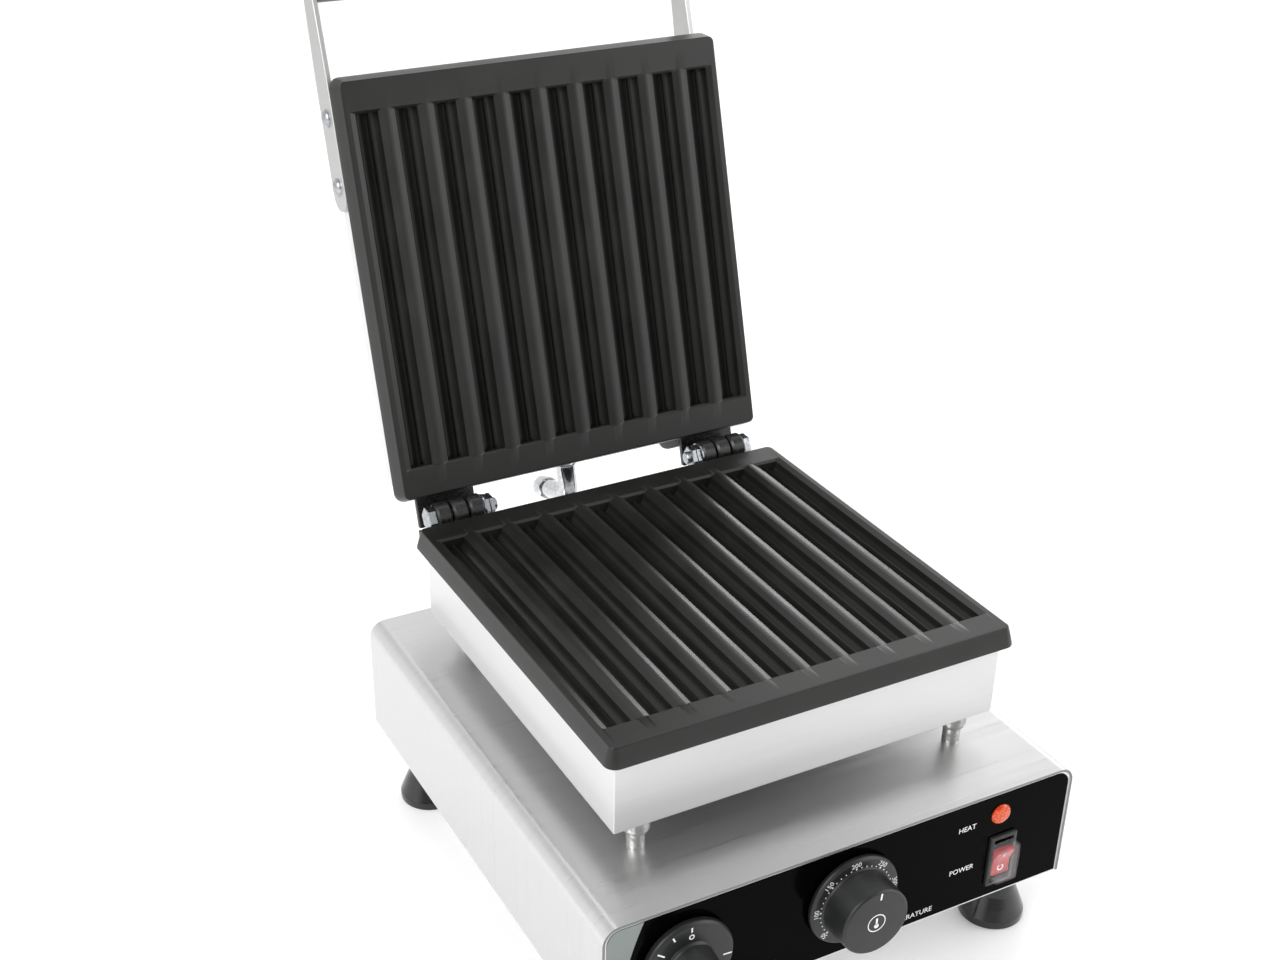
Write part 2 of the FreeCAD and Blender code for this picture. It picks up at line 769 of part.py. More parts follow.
def lower_pan():
    """The tray on the pillars, which carries the lower plate."""
    top = PLATE_BACK
    outer, inner = pan_shell("pan", (PAN_FRONT, PAN_REAR), (PAN_Z, top), False, None)
    holes = [
        rod(f"pan_hole_{n}", "Z", (x, y, f"{PAN_Z} - 2"), "stud_radius + hole_play", "5")
        for n, (x, y) in enumerate(pillar_places())
    ]
    holes += [
        rod(f"pan_hinge_hole_{n}", "Y", (x, f"{PAN_REAR} - 5", z), "screw_radius + hole_play", "10")
        for n, (x, z) in enumerate(flange_screws(f"{HINGE_Z} - leaf_lift - leaf_sheet - flange_height / 2"))
    ]
    on_base("lower_pan", cut("pan_cut", outer, inner, *holes))
    on_base(
        "lower_plate",
        baking_plate("lower_cast", "plate_front", PLATE_BACK, 1, f"{PAN_Z} + pan_sheet", "boss_inset"),
    )
    tube, slab = heating("lower", "plate_front", PLATE_BACK, 1, f"{PAN_Z} + pan_sheet")
    on_base("lower_heater", tube)
    on_base("lower_insulation", slab)


def flange_screws(z):
    """Centres of the screws of both hinge flanges, one above the other about a height."""
    x = "(leaf_inside + flange_screw_inset)"
    heights = centred(z, "flange_screw_pitch / 2")
    return [(place, height) for place in (f"-{x}", x) for height in heights]


def lid():
    """The cover, its plate and heating, and the screws that hold them together."""
    outer, inner = pan_shell("cover", (LID_FRONT, LID_REAR), (LID_BACK, LID_TOP), True, "cover_bend")
    front_y = "(-hinge_back - plate_size)"
    rows = (f"{front_y} + lid_boss_inset", "-hinge_back - lid_boss_inset")
    spots = [(x, y) for x in ("-boss_x", "boss_x") for y in rows]
    holes = [
        rod(f"cover_hole_{n}", "Z", (x, y, f"{LID_TOP} - 5"), "stud_radius + hole_play", "10")
        for n, (x, y) in enumerate(spots)
    ]
    holes += [
        rod(f"cover_hinge_hole_{n}", "Y", (x, f"{LID_REAR} - 5", z), "screw_radius + hole_play", "10")
        for n, (x, z) in enumerate(flange_screws(f"leaf_lift + leaf_sheet + {LID_FLANGE} / 2"))
    ]
    holes += [
        rod(f"cover_arm_hole_{n}", "X", ("-200", y, ARM_Z), "screw_radius + hole_play", "400")
        for n, y in enumerate(arm_screw_places())
    ]
    holes.append(rod("cover_elbow_hole", "Y", ("elbow_x", f"{LID_REAR} - 5", "elbow_rise"), "elbow_radius", "10"))
    on_lid("lid_cover", cut("cover_cut", outer, inner, *holes))
    inside = f"{LID_TOP} - pan_sheet"
    on_lid("upper_plate", baking_plate("upper_cast", front_y, LID_BACK, -1, inside, "lid_boss_inset"))
    tube, slab = heating("upper", front_y, LID_BACK, -1, inside)
    on_lid("upper_heater", tube)
    on_lid("upper_insulation", slab)
    screws = []
    for n, (x, y) in enumerate(spots):
        head = rod(f"lid_screw_head_{n}", "Z", (x, y, LID_TOP), "1.8 * stud_radius", "screw_head")
        start = f"{inside} - stud_reach"
        shank = rod(f"lid_screw_shank_{n}", "Z", (x, y, start), "stud_radius", "stud_reach + pan_sheet")
        screws.append(fuse(f"lid_screw_{n}", head, shank))
    on_lid("lid_screws", together("lid_screw_set", screws))


# --- hinges -------------------------------------------------------------------------------------------

LID_FLANGE = "(cover_height - 12)"
KNUCKLE_IN = "(knuckle_x - knuckle_width / 2)"
KNUCKLE_OUT = "(knuckle_x + knuckle_width / 2)"
SIDE_IN = "(knuckle_x - knuckle_width / 2 - knuckle_play - knuckle_side)"
SIDE_OUT = "(knuckle_x + knuckle_width / 2 + knuckle_play + knuckle_side)"


def barrel(name, side, near, far, y, z):
    """A knuckle about the hinge axis with the web that joins it to its leaf."""
    low, high = across(side, near, far)
    return rod(name, "X", (low, y, z), "knuckle_radius", f"({high}) - ({low})")


def base_hinge(word, side):
    """Casting on the tray's rear wall: flange, leaf that also stops the lid, and two outer knuckles."""
    leaf_x = across(side, "leaf_inside", "leaf_outside")
    wall = PAN_REAR
    leaf_top = f"{HINGE_Z} - leaf_lift"
    members = [
        block(f"base_flange_{word}", leaf_x, (wall, f"{wall} + leaf_sheet"), (f"{leaf_top} - flange_height", leaf_top)),
        block(
            f"base_leaf_{word}",
            leaf_x,
            (wall, f"{HINGE_Y} + stop_back"),
            (f"{leaf_top} - leaf_sheet", leaf_top),
        ),
    ]
    knuckles = ((SIDE_IN, f"{KNUCKLE_IN} - knuckle_play"), (f"{KNUCKLE_OUT} + knuckle_play", SIDE_OUT))
    for n, (near, far) in enumerate(knuckles):
        members.append(barrel(f"base_barrel_{word}_{n}", side, near, far, HINGE_Y, HINGE_Z))
        members.append(
            block(
                f"base_web_{word}_{n}",
                across(side, near, far),
                (f"{HINGE_Y} - knuckle_radius", f"{HINGE_Y} + knuckle_radius"),
                (f"{HINGE_Z} - leaf_lift", HINGE_Z),
            )
        )
    low, high = across(side, SIDE_IN, SIDE_OUT)
    bore = rod(f"base_bore_{word}", "X", (f"{low} - 5", HINGE_Y, HINGE_Z), "bolt_radius", f"({high}) - ({low}) + 10")
    drilled = [
        rod(f"base_flange_hole_{word}_{n}", "Y", (x, f"{wall} - 5", z), "screw_radius + hole_play", "20")
        for n, (x, z) in enumerate(flange_screws(f"{leaf_top} - leaf_sheet - flange_height / 2"))
    ]
    on_base(f"base_hinge_{word}", cut(f"base_casting_{word}", fuse(f"base_solid_{word}", *members), bore, *drilled))


def lid_hinge(word, side):
    """Casting on the lid's rear wall: flange, leaf and the middle knuckle, which turns on the bolt."""
    leaf_x = across(side, "leaf_inside", "leaf_outside")
    members = [
        block(
            f"lid_flange_{word}",
            leaf_x,
            (LID_REAR, f"{LID_REAR} + leaf_sheet"),
            ("leaf_lift", f"leaf_lift + leaf_sheet + {LID_FLANGE}"),
        ),
        block(f"lid_leaf_{word}", leaf_x, (LID_REAR, "leaf_back"), ("leaf_lift", "leaf_lift + leaf_sheet")),
        barrel(f"lid_barrel_{word}", side, KNUCKLE_IN, KNUCKLE_OUT, "0", "0"),
        block(
            f"lid_web_{word}",
            across(side, KNUCKLE_IN, KNUCKLE_OUT),
            ("-knuckle_radius", "knuckle_radius"),
            ("0", "leaf_lift"),
        ),
    ]
    low, high = across(side, KNUCKLE_IN, KNUCKLE_OUT)
    bore = rod(f"lid_bore_{word}", "X", (f"{low} - 5", "0", "0"), "bolt_radius + bolt_fit", f"({high}) - ({low}) + 10")
    drilled = [
        rod(f"lid_flange_hole_{word}_{n}", "Y", (x, f"{LID_REAR} - 5", z), "screw_radius + hole_play", "20")
        for n, (x, z) in enumerate(flange_screws(f"leaf_lift + leaf_sheet + {LID_FLANGE} / 2"))
    ]
    on_lid(f"lid_hinge_{word}", cut(f"lid_casting_{word}", fuse(f"lid_solid_{word}", *members), bore, *drilled))


def hinge_bolts():
    """A hex bolt through each hinge, held by a washer and two thin nuts on its inner end."""
    nuts, washers = [], []
    for word, side in SIDES:
        tail = f"{SIDE_IN} - washer_sheet - 2 * bolt_nut - bolt_tail"
        low, high = across(side, tail, SIDE_OUT)
        shank = rod(f"bolt_shank_{word}", "X", (low, HINGE_Y, HINGE_Z), "bolt_radius", f"({high}) - ({low})")
        low, high = across(side, SIDE_OUT, f"{SIDE_OUT} + bolt_head")
        head = hexagon(f"bolt_head_{word}", "X", (low, HINGE_Y, HINGE_Z), "bolt_flats", "bolt_head")
        on_base(f"hinge_bolt_{word}", fuse(f"bolt_{word}", shank, head))
        low, high = across(side, f"{SIDE_IN} - washer_sheet", SIDE_IN)
        disc = rod(f"washer_disc_{word}", "X", (low, HINGE_Y, HINGE_Z), "washer_radius", "washer_sheet")
        hole = rod(f"washer_hole_{word}", "X", (f"{low} - 5", HINGE_Y, HINGE_Z), "bolt_radius", "20")
        washers.append(cut(f"washer_{word}", disc, hole))
        for n in range(2):
            outer = f"{SIDE_IN} - washer_sheet - {n} * bolt_nut"
            low, high = across(side, f"{outer} - bolt_nut", outer)
            hexed = hexagon(f"bolt_nut_hex_{word}_{n}", "X", (low, HINGE_Y, HINGE_Z), "bolt_flats", "bolt_nut")
            hole = rod(f"bolt_nut_hole_{word}_{n}", "X", (f"{low} - 5", HINGE_Y, HINGE_Z), "bolt_radius", "20")
            nuts.append(cut(f"bolt_nut_{word}_{n}", hexed, hole))
    on_base("hinge_nuts", together("hinge_nut_set", nuts))
    on_base("hinge_washers", together("hinge_washer_set", washers))


def flange_fasteners():
    """Small screws that hold the hinge castings to the tray and to the lid's cover."""
    base_z = f"{HINGE_Z} - leaf_lift - leaf_sheet - flange_height / 2"
    lid_z = f"leaf_lift + leaf_sheet + {LID_FLANGE} / 2"
    sets = (("base", PAN_REAR, base_z, on_base), ("lid", LID_REAR, lid_z, on_lid))
    for word, wall, z, place in sets:
        screws = []
        for n, (x, height) in enumerate(flange_screws(z)):
            seat = f"{wall} + leaf_sheet"
            head = rod(f"{word}_screw_head_{n}", "Y", (x, seat, height), "screw_head_radius", "screw_head")
            reach = "leaf_sheet + pan_sheet + screw_reach"
            shank = rod(f"{word}_screw_shank_{n}", "Y", (x, f"{seat} - ({reach})", height), "screw_radius", reach)
            screws.append(fuse(f"{word}_screw_{n}", head, shank))
        place(f"{word}_hinge_screws", together(f"{word}_screw_set", screws))


# --- handle -------------------------------------------------------------------------------------------

def arm_screw_places():
    """Places of the two screws of a handle arm along the lid."""
    return ["-hinge_back - plate_size + handle_screw_front", "-hinge_back - plate_size + handle_screw_rear"]


def handle():
    """Two flat arms on the cover's sides, the round grip between them and the screws."""
    lid_front = "-hinge_back - plate_size"
    screws, nuts, ends = [], [], []
    for word, side in SIDES:
        body = doc.addObject("PartDesign::Body", f"arm_{word}")
        low, high = across(side, PAN_SIDE, f"{PAN_SIDE} + arm_sheet")
        corners = [
            (f"{lid_front} + arm_rear", f"{ARM_Z} - arm_width / 2"),
            (f"{lid_front} + arm_rear", f"{ARM_Z} + arm_width / 2"),
            (f"{lid_front} - arm_taper", f"{ARM_Z} + arm_width / 2"),
            (f"{GRIP_Y} - arm_tip_width / 2", f"{ARM_Z} + arm_tip_width / 2"),
            (f"{GRIP_Y} - arm_tip_width / 2", f"{ARM_Z} - arm_tip_width / 2"),
            (f"{lid_front} - arm_taper", f"{ARM_Z} - arm_width / 2"),
        ]
        strip = outline(body, f"arm_outline_{word}", "YZ_Plane", ("0", "0", low), corners)
        flat = pad(body, f"arm_flat_{word}", strip, "arm_sheet")
        doc.recompute()
        ends_y = (number(corners[0][0]), number(corners[3][0]))
        picked = [
            f"Edge{n}"
            for n, edge in enumerate(body.Shape.Edges, start=1)
            if runs_along(edge, "x") and min(abs(edge.CenterOfMass.y - y) for y in ends_y) < 0.01
        ]
        soft = body.newObject("PartDesign::Fillet", f"arm_ends_{word}")
        soft.Base = (flat, picked)
        bind(soft, {"Radius": "arm_tip_width / 2 - 0.5"})
        doc.recompute()
        play = "screw_radius + hole_play"
        spots = [(y, ARM_Z, play) for y in arm_screw_places()] + [(GRIP_Y, ARM_Z, play)]
        holes = circles(body, f"arm_holes_{word}", "YZ_Plane", ("0", "0", low), spots)
        pocket(body, f"arm_drilled_{word}", holes, "arm_sheet", reverse=True)
        on_lid(f"handle_arm_{word}", body)
        outside = f"{PAN_SIDE} + arm_sheet"
        for n, y in enumerate(arm_screw_places()):
            inner = f"{PAN_SIDE} - pan_sheet - nut_height - 2"
            screws.append(domed_screw(f"arm_screw_{word}_{n}", side, y, outside, inner))
            low, high = across(side, f"{PAN_SIDE} - pan_sheet - nut_height", f"{PAN_SIDE} - pan_sheet")
            hexed = hexagon(f"arm_nut_hex_{word}_{n}", "X", (low, y, ARM_Z), "nut_flats", "nut_height")
            hole = rod(f"arm_nut_hole_{word}_{n}", "X", (f"{low} - 5", y, ARM_Z), "screw_radius", "20")
            nuts.append(cut(f"arm_nut_{word}_{n}", hexed, hole))
        ends.append(domed_screw(f"grip_screw_{word}", side, GRIP_Y, outside, f"{PAN_SIDE} - 2 * screw_reach"))
    on_lid("handle_screws", together("arm_screw_set", screws))
    on_lid("handle_nuts", together("arm_nut_set", nuts))
    on_lid("grip_screws", together("grip_screw_set", ends))
    bar = rod("grip_bar", "X", (f"-{PAN_SIDE}", GRIP_Y, ARM_Z), "grip_radius", f"2 * {PAN_SIDE}")
    bar = rounded("grip_round", bar, "1.5", lambda edge: len(edge.Vertexes) == 1)
    bores = []
    for word, side in SIDES:
        low, high = across(side, f"{PAN_SIDE} - 2 * screw_reach", PAN_SIDE)
        bores.append(rod(f"grip_bore_{word}", "X", (low, GRIP_Y, ARM_Z), "screw_radius", f"({high}) - ({low})"))
    on_lid("handle_grip", cut("grip_cut", bar, *bores))


def domed_screw(name, side, y, outside, inner):
    """A screw along X with a domed head against an arm's outer face."""
    low, high = across(side, inner, outside)
    shank = rod(f"{name}_shank", "X", (low, y, ARM_Z), "screw_radius", f"({high}) - ({low})")
    low, high = across(side, outside, f"{outside} + dome_height")
    head = rod(f"{name}_head", "X", (low, y, ARM_Z), "dome_radius", "dome_height")
    rim = number(high if side > 0 else low)
    head = rounded(f"{name}_dome", head, "dome_height - 0.2", lambda edge: abs(edge.CenterOfMass.x - rim) < 0.01)
    return fuse(name, shank, head)


# --- outlet of the lid's lead, and the tab beside the right hinge -------------------------------------

def lead_outlet():
    """A hollow angled fitting on the lid's rear wall, closed by a domed compression nut."""
    spot = ("elbow_x", "elbow_out", "elbow_rise")
    start = ("elbow_x", f"{LID_REAR} - 4", "elbow_rise")
    leg = rod("elbow_leg", "Y", start, "elbow_radius", f"elbow_out + 4 - {LID_REAR}")
    up = rod("elbow_up", "Z", spot, "elbow_radius", "elbow_end - elbow_rise")
    knee = doc.addObject("Part::Sphere", "elbow_knee")
    bind(knee, {"Radius": "elbow_radius"})
    move(knee, spot)
    collar = hexagon("elbow_collar", "Y", ("elbow_x", LID_REAR, "elbow_rise"), "elbow_hex", "elbow_hex_width")
    on_lid("lead_elbow", fuse("elbow", leg, up, knee, collar))
    profile = [
        ("0", "elbow_end"),
        ("elbow_nut_radius", "elbow_end"),
        ("elbow_nut_radius", "elbow_nut_end - 4"),
        ("elbow_nut_radius - 2.5", "elbow_nut_end"),
        ("elbow_bore", "elbow_nut_end"),
        ("elbow_bore", "elbow_nut_end - elbow_bore_depth"),
        ("0", "elbow_nut_end - elbow_bore_depth"),
    ]
    on_lid("lead_elbow_nut", turned("elbow_cap", "Z", ("elbow_x", "elbow_out"), profile))
    x = ("tab_inside", "tab_outside")
    leaf = block("tab_leaf", x, (LID_REAR, f"{LID_REAR} + tab_reach"), ("tab_rise", "tab_rise + tab_sheet"))
    reach, inside = number(f"{LID_REAR} + tab_reach"), number("tab_inside")
    leaf = rounded(
        "tab_round",
        leaf,
        "tab_reach / 2",
        lambda edge: runs_along(edge, "z")
        and abs(edge.CenterOfMass.y - reach) < 0.01
        and abs(edge.CenterOfMass.x - inside) < 0.01,
    )
    flange_x = ("tab_inside", "leaf_inside - 0.5")
    flange = block(
        "tab_flange_flat", flange_x, (LID_REAR, f"{LID_REAR} + tab_sheet"), ("tab_rise - tab_flange", "tab_rise + tab_sheet")
    )
    on_lid("lid_stop_tab", notch_tab(fuse("tab", leaf, flange)))


def notch_tab(tab):
    """The tab with room cut for the hinge flange that it stands beside."""
    room = block(
        "tab_notch",
        ("leaf_inside - 0.5", "tab_outside + 5"),
        (f"{LID_REAR} - 5", f"{LID_REAR} + leaf_sheet + screw_head + 0.4"),
        ("tab_rise - 20", "tab_rise + 20"),
    )
    return cut("tab_cut", tab, room)


# --- controls -----------------------------------------------------------------------------------------

def control(word, x, knob, seat):
    """A control inside the box with its shaft and knob; seat is how far the shaft enters the knob."""
    half = "control_body_width / 2"
    body = block(
        f"{word}_case",
        (f"{x} - {half}", f"{x} + {half}"),
        (PANEL_BACK, f"{PANEL_BACK} + control_body_depth"),
        (f"control_height - {half} + 2", f"control_height + {half} - 2"),
    )
    inner_end = f"{PANEL_BACK} + shaft_inside"
    bore = rod(f"{word}_case_bore", "Y", (x, "-5", "control_height"), "shaft_radius + shaft_fit", f"{inner_end} + 5")
    on_base(f"{word}_body", cut(f"{word}_case_cut", body, bore))
    place = (x, f"-({seat})", "control_height")
    shaft = rod(f"{word}_spindle", "Y", place, "shaft_radius", f"{seat} + {inner_end} - 0.5")
    on_base(f"{word}_shaft", together(f"{word}_spindle_set", [shaft]))
    bore = rod(f"{word}_knob_bore", "Y", place, "shaft_radius", seat)
    on_base(f"{word}_knob", cut(f"{word}_knob_cut", knob, bore))


def dial():
    """Thermostat knob: a wide skirt for the scale and a round grip."""
    skirt = "dial_gap + dial_skirt"
    profile = [
        ("0", "-dial_gap"),
        ("dial_radius", "-dial_gap"),
        ("dial_radius", "-dial_gap - 1.5"),
        ("dial_radius - 2", f"-({skirt})"),
        ("dial_grip_radius", f"-({skirt})"),
        ("dial_grip_radius - 0.8", "-dial_reach + 1.5"),
        ("dial_grip_radius - 2.3", "-dial_reach"),
        ("0", "-dial_reach"),
    ]
    knob = turned("dial_turned", "Y", ("dial_x", "control_height"), profile)
    control("thermostat", "dial_x", knob, "dial_reach - shaft_in_knob")


def timer():
    """Timer knob: a disc with a round grip in its middle."""
    skirt = "dial_gap + timer_skirt"
    profile = [
        ("0", "-dial_gap"),
        ("timer_radius", "-dial_gap"),
        ("timer_radius", f"-({skirt}) + 1.5"),
        ("timer_radius - 1.5", f"-({skirt})"),
        ("0", f"-({skirt})"),
    ]
    disc = turned("timer_disc", "Y", ("timer_x", "control_height"), profile)
    front_y = number("-timer_reach")
    start = ("timer_x", "-timer_reach", "control_height")
    grip = rod("timer_grip", "Y", start, "timer_grip_radius", f"timer_reach - ({skirt})")
    grip = rounded("timer_grip_edge", grip, "1.5", lambda edge: abs(edge.CenterOfMass.y - front_y) < 0.01)
    control("timer", "timer_x", fuse("timer_turned", disc, grip), "timer_reach - shaft_in_knob")


def lamp():
    """Heat lamp: a domed lens in front and its holder behind the panel."""
    start = f"{OVERLAY_FRONT} - lamp_reach"
    lens = rod("lens_round", "Y", ("lamp_x", start, "lamp_z"), "lamp_radius", "lamp_reach")
    front_y = number(start)
    lens = rounded("lens_dome", lens, "lamp_round", lambda edge: abs(edge.CenterOfMass.y - front_y) < 0.01)
    on_base("lamp_lens", lens)
    case = rod("lamp_case", "Y", ("lamp_x", OVERLAY_FRONT, "lamp_z"), "lamp_body_radius", "lamp_body_length")
    on_base("lamp_body", together("lamp_case_set", [case]))


def rocker():
    """Power switch: frame and case in one, the tilting button on its pin, and a clear splash cover."""
    frame_back = OVERLAY_FRONT
    frame_front = f"{OVERLAY_FRONT} - rocker_frame_sheet"
    frame = block(
        "rocker_frame",
        centred("rocker_x", "rocker_frame_width / 2"),
        (frame_front, frame_back),
        centred("rocker_z", "rocker_frame_height / 2"),
    )
    frame_y = number(frame_front)
    frame = rounded("rocker_frame_edge", frame, "1", lambda edge: abs(edge.CenterOfMass.y - frame_y) < 0.01)
    case = block(
        "rocker_case",
        centred("rocker_x", "rocker_hole_width / 2 + rocker_wall"),
        (frame_back, "rocker_body_depth"),
        centred("rocker_z", "rocker_hole_height / 2 + rocker_wall"),
    )
    room = block(
        "rocker_room",
        centred("rocker_x", "rocker_hole_width / 2"),
        ("-10", "rocker_body_depth - rocker_wall"),
        centred("rocker_z", "rocker_hole_height / 2"),
    )
    pin_x = "rocker_x - rocker_hole_width / 2 - 0.5"
    pivot = ("rocker_pivot_depth", "rocker_z")
    pin = rod("rocker_pin", "X", (pin_x, *pivot), "rocker_pin_radius", "rocker_hole_width + 1")
    open_case = cut("rocker_case_cut", fuse("rocker_block", frame, case), room)
    on_base("rocker_housing", fuse("rocker_case_pinned", open_case, pin))

    body = doc.addObject("PartDesign::Body", "rocker_paddle")
    height = "rocker_half_height"
    corners = [
        ("-6.6", height),
        ("-4.8", "0"),
        ("-6.6", f"-{height}"),
        ("4", "-5"),
        ("4", "5"),
    ]
    section = outline(body, "paddle_outline", "YZ_Plane", ("0", "0", "-rocker_width / 2"), corners)
    pad(body, "paddle_flat", section, "rocker_width")
    hole = circles(
        body, "paddle_hole", "YZ_Plane", ("0", "0", "-rocker_width / 2"), [("0", "0", "rocker_pin_radius + shaft_fit")]
    )
    pocket(body, "paddle_bore", hole, "rocker_width", reverse=True)
    body.Placement.Rotation = FreeCAD.Rotation(FreeCAD.Vector(1, 0, 0), 1)
    bind(body, {"Placement.Rotation.Angle": "rocker_tilt"})
    move(body, ("rocker_x", *pivot))
    on_base("rocker_button", together("rocker_paddle_set", [body]))

    cover_x = "rocker_frame_width / 2 - rocker_cover_inset_x"
    cover_z = "rocker_frame_height / 2 - rocker_cover_inset_z"
    reach = f"{frame_front} - rocker_cover_reach"
    outer = block("cover_box", centred("rocker_x", cover_x), (reach, frame_front), centred("rocker_z", cover_z))
    reach_y = number(reach)
    outer = rounded("cover_box_round", outer, "1.5", lambda edge: abs(edge.CenterOfMass.y - reach_y) < 0.01)
    inner = block(
        "cover_room",
        centred("rocker_x", f"{cover_x} - rocker_cover_sheet"),
        (f"{reach} + rocker_cover_sheet", f"{frame_front} + 1"),
        centred("rocker_z", f"{cover_z} - rocker_cover_sheet"),
    )
    on_base("rocker_cover", cut("cover_box_cut", outer, inner))


# --- wiring -------------------------------------------------------------------------------------------

def wiring():
    """Terminal block on the floor of the box, and the two cable glands in its back with their seals."""
    y = "base_depth - 70"
    body = block(
        "terminal_case",
        centred("0", "terminal_width / 2"),
        (y, f"{y} + terminal_depth"),
        ("base_sheet", "base_sheet + terminal_height"),
    )
    slots = [
        rod(
            f"terminal_well_{n}",
            "Z",
            (f"({n} - 2) * terminal_width / 5", f"{y} + terminal_depth / 2", "terminal_height - 6"),
            "3.5",
            "20",
        )
        for n in range(5)
    ]
    on_base("terminal_block", cut("terminal_cut", body, *slots))
    seals = []
    for word, (x, z) in zip(("mains", "lead"), gland_places()):
        back = "base_depth"
        body = [
            rod(f"{word}_thread", "Y", (x, "base_depth - base_sheet - 8", z), "gland_thread_radius", "base_sheet + 9"),
            hexagon(f"{word}_hex", "Y", (x, back, z), "gland_flats", "gland_hex"),
            rod(f"{word}_barrel", "Y", (x, back, z), "gland_flats / 2 - 0.8", "gland_reach"),
        ]
        solid = fuse(f"{word}_gland_solid", *body)
        bore = rod(f"{word}_gland_bore", "Y", (x, "base_depth - 20", z), "gland_bore", "60")
        on_base(f"{word}_gland", cut(f"{word}_gland_cut", solid, bore))
        length = "base_sheet + 8 + gland_reach - 2 * gland_seal_set"
        seals.append(rod(f"{word}_seal", "Y", (x, "base_depth - base_sheet - 8 + gland_seal_set", z), "gland_bore", length))
    on_base("gland_seals", together("gland_seal_set", seals))


base_shell()
front()
rear()
feet()
standoffs()
lower_pan()
lid()
for hinge_word, hinge_side in SIDES:
    base_hinge(hinge_word, hinge_side)
    lid_hinge(hinge_word, hinge_side)
hinge_bolts()
flange_fasteners()
handle()
lead_outlet()
dial()
timer()
lamp()
rocker()
wiring()

doc.recompute()
faults = [thing.Name for thing in doc.Objects if {"Invalid", "Error"} & set(thing.State)]
faults += [label for label, thing in pieces.items() if thing.Shape.isNull() or not thing.Shape.isValid()]
if faults:
    raise RuntimeError("not built: " + ", ".join(faults))
os.makedirs("parts", exist_ok=True)
for label, thing in pieces.items():
    thing.Shape.exportStep(os.path.join("parts", label + ".step"))
print(len(pieces), "pieces; the box's front is", round(-number(CENTRE_Y), 3), "mm from the origin")
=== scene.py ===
import json
import math

import bmesh
import bpy
import numpy as np
from bpy.props import FloatProperty, FloatVectorProperty, IntProperty, PointerProperty
from mathutils import Matrix, Vector


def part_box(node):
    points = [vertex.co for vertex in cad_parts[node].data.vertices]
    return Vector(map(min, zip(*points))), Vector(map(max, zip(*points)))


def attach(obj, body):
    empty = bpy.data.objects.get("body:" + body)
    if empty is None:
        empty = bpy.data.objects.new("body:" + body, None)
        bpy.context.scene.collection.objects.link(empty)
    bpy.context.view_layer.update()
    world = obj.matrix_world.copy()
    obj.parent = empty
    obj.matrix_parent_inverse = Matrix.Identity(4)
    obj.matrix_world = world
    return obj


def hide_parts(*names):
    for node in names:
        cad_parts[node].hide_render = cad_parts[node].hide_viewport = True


bl_info = {
    "name": "Stick waffle baker",
    "version": (1, 0, 0),
    "blender": (4, 5, 0),
    "location": "View3D > Sidebar > Baker",
    "description": "Builds the visible pieces and finishes of a hinged stick-waffle baker",
    "category": "Object",
}

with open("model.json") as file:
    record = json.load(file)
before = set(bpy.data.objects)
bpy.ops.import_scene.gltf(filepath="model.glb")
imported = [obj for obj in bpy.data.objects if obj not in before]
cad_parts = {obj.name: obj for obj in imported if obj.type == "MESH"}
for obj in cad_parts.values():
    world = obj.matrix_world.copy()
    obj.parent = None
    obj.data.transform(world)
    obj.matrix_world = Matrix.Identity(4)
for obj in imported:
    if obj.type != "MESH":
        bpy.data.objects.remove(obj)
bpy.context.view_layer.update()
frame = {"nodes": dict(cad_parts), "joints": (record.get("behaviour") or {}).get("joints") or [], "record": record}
JOINTS = {joint["name"]: joint for joint in frame["joints"]}
HINGE = np.array(JOINTS["lid_hinge"]["pos_m"])
OPEN_ANGLE = math.radians(JOINTS["lid_hinge"]["range_deg"][1])
SHELL_LOW, SHELL_HIGH = (np.array(corner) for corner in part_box("base_shell"))
BOX_ORIGIN = np.array([0.0, SHELL_LOW[1], SHELL_LOW[2]])  # middle of the box's front bottom edge
MM = 0.001
END_BEVEL = 1.3 * MM  # width of the bevel at a groove's two ends
RIM = 0.8 * MM  # radius of a plate's upper edge
PRINT = 0.06  # thickness of a printed mark, in millimetres
SIDES = (("left", -1), ("right", 1))
FILM_FACE = 0.3  # the printed film's front stands this far behind the box's front edge, in millimetres
CORNERS = ("front_left", "front_right", "rear_left", "rear_right")


# --- properties ---

def linear(code):
    """An sRGB hex colour as linear red, green, blue and alpha."""
    channels = [int(code[n:n + 2], 16) / 255 for n in (1, 3, 5)]
    return tuple(c / 12.92 if c <= 0.04045 else ((c + 0.055) / 1.055) ** 2.4 for c in channels) + (1.0,)


def mm(values):
    """Millimetres as an array of metres."""
    return np.array(values, float) * MM


def size(name, millimetres, description):
    """A length property with its default in millimetres."""
    return FloatProperty(name=name, description=description, default=millimetres * MM, unit="LENGTH", precision=5)


def colour(name, code, description):
    """A colour property with its default as an sRGB hex code."""
    return FloatVectorProperty(name=name, description=description, default=linear(code), size=4, subtype="COLOR")


class BoxSizes(bpy.types.PropertyGroup):
    """Control box, feet and pan."""

    bend: size("Bend", 10, "Outer radius of the folded cover's long edges")
    sheet: size("Sheet", 1.5, "Thickness of the cover's steel")
    pillar_radius: size("Pillar radius", 5, "Radius of a pillar's shaft")
    collar_radius: size("Collar radius", 7.5, "Radius of a pillar's collar")
    collar_height: size("Collar height", 10.4, "Height of a pillar's collar")
    pan_sheet: size("Pan sheet", 1.2, "Thickness of the trays' steel")


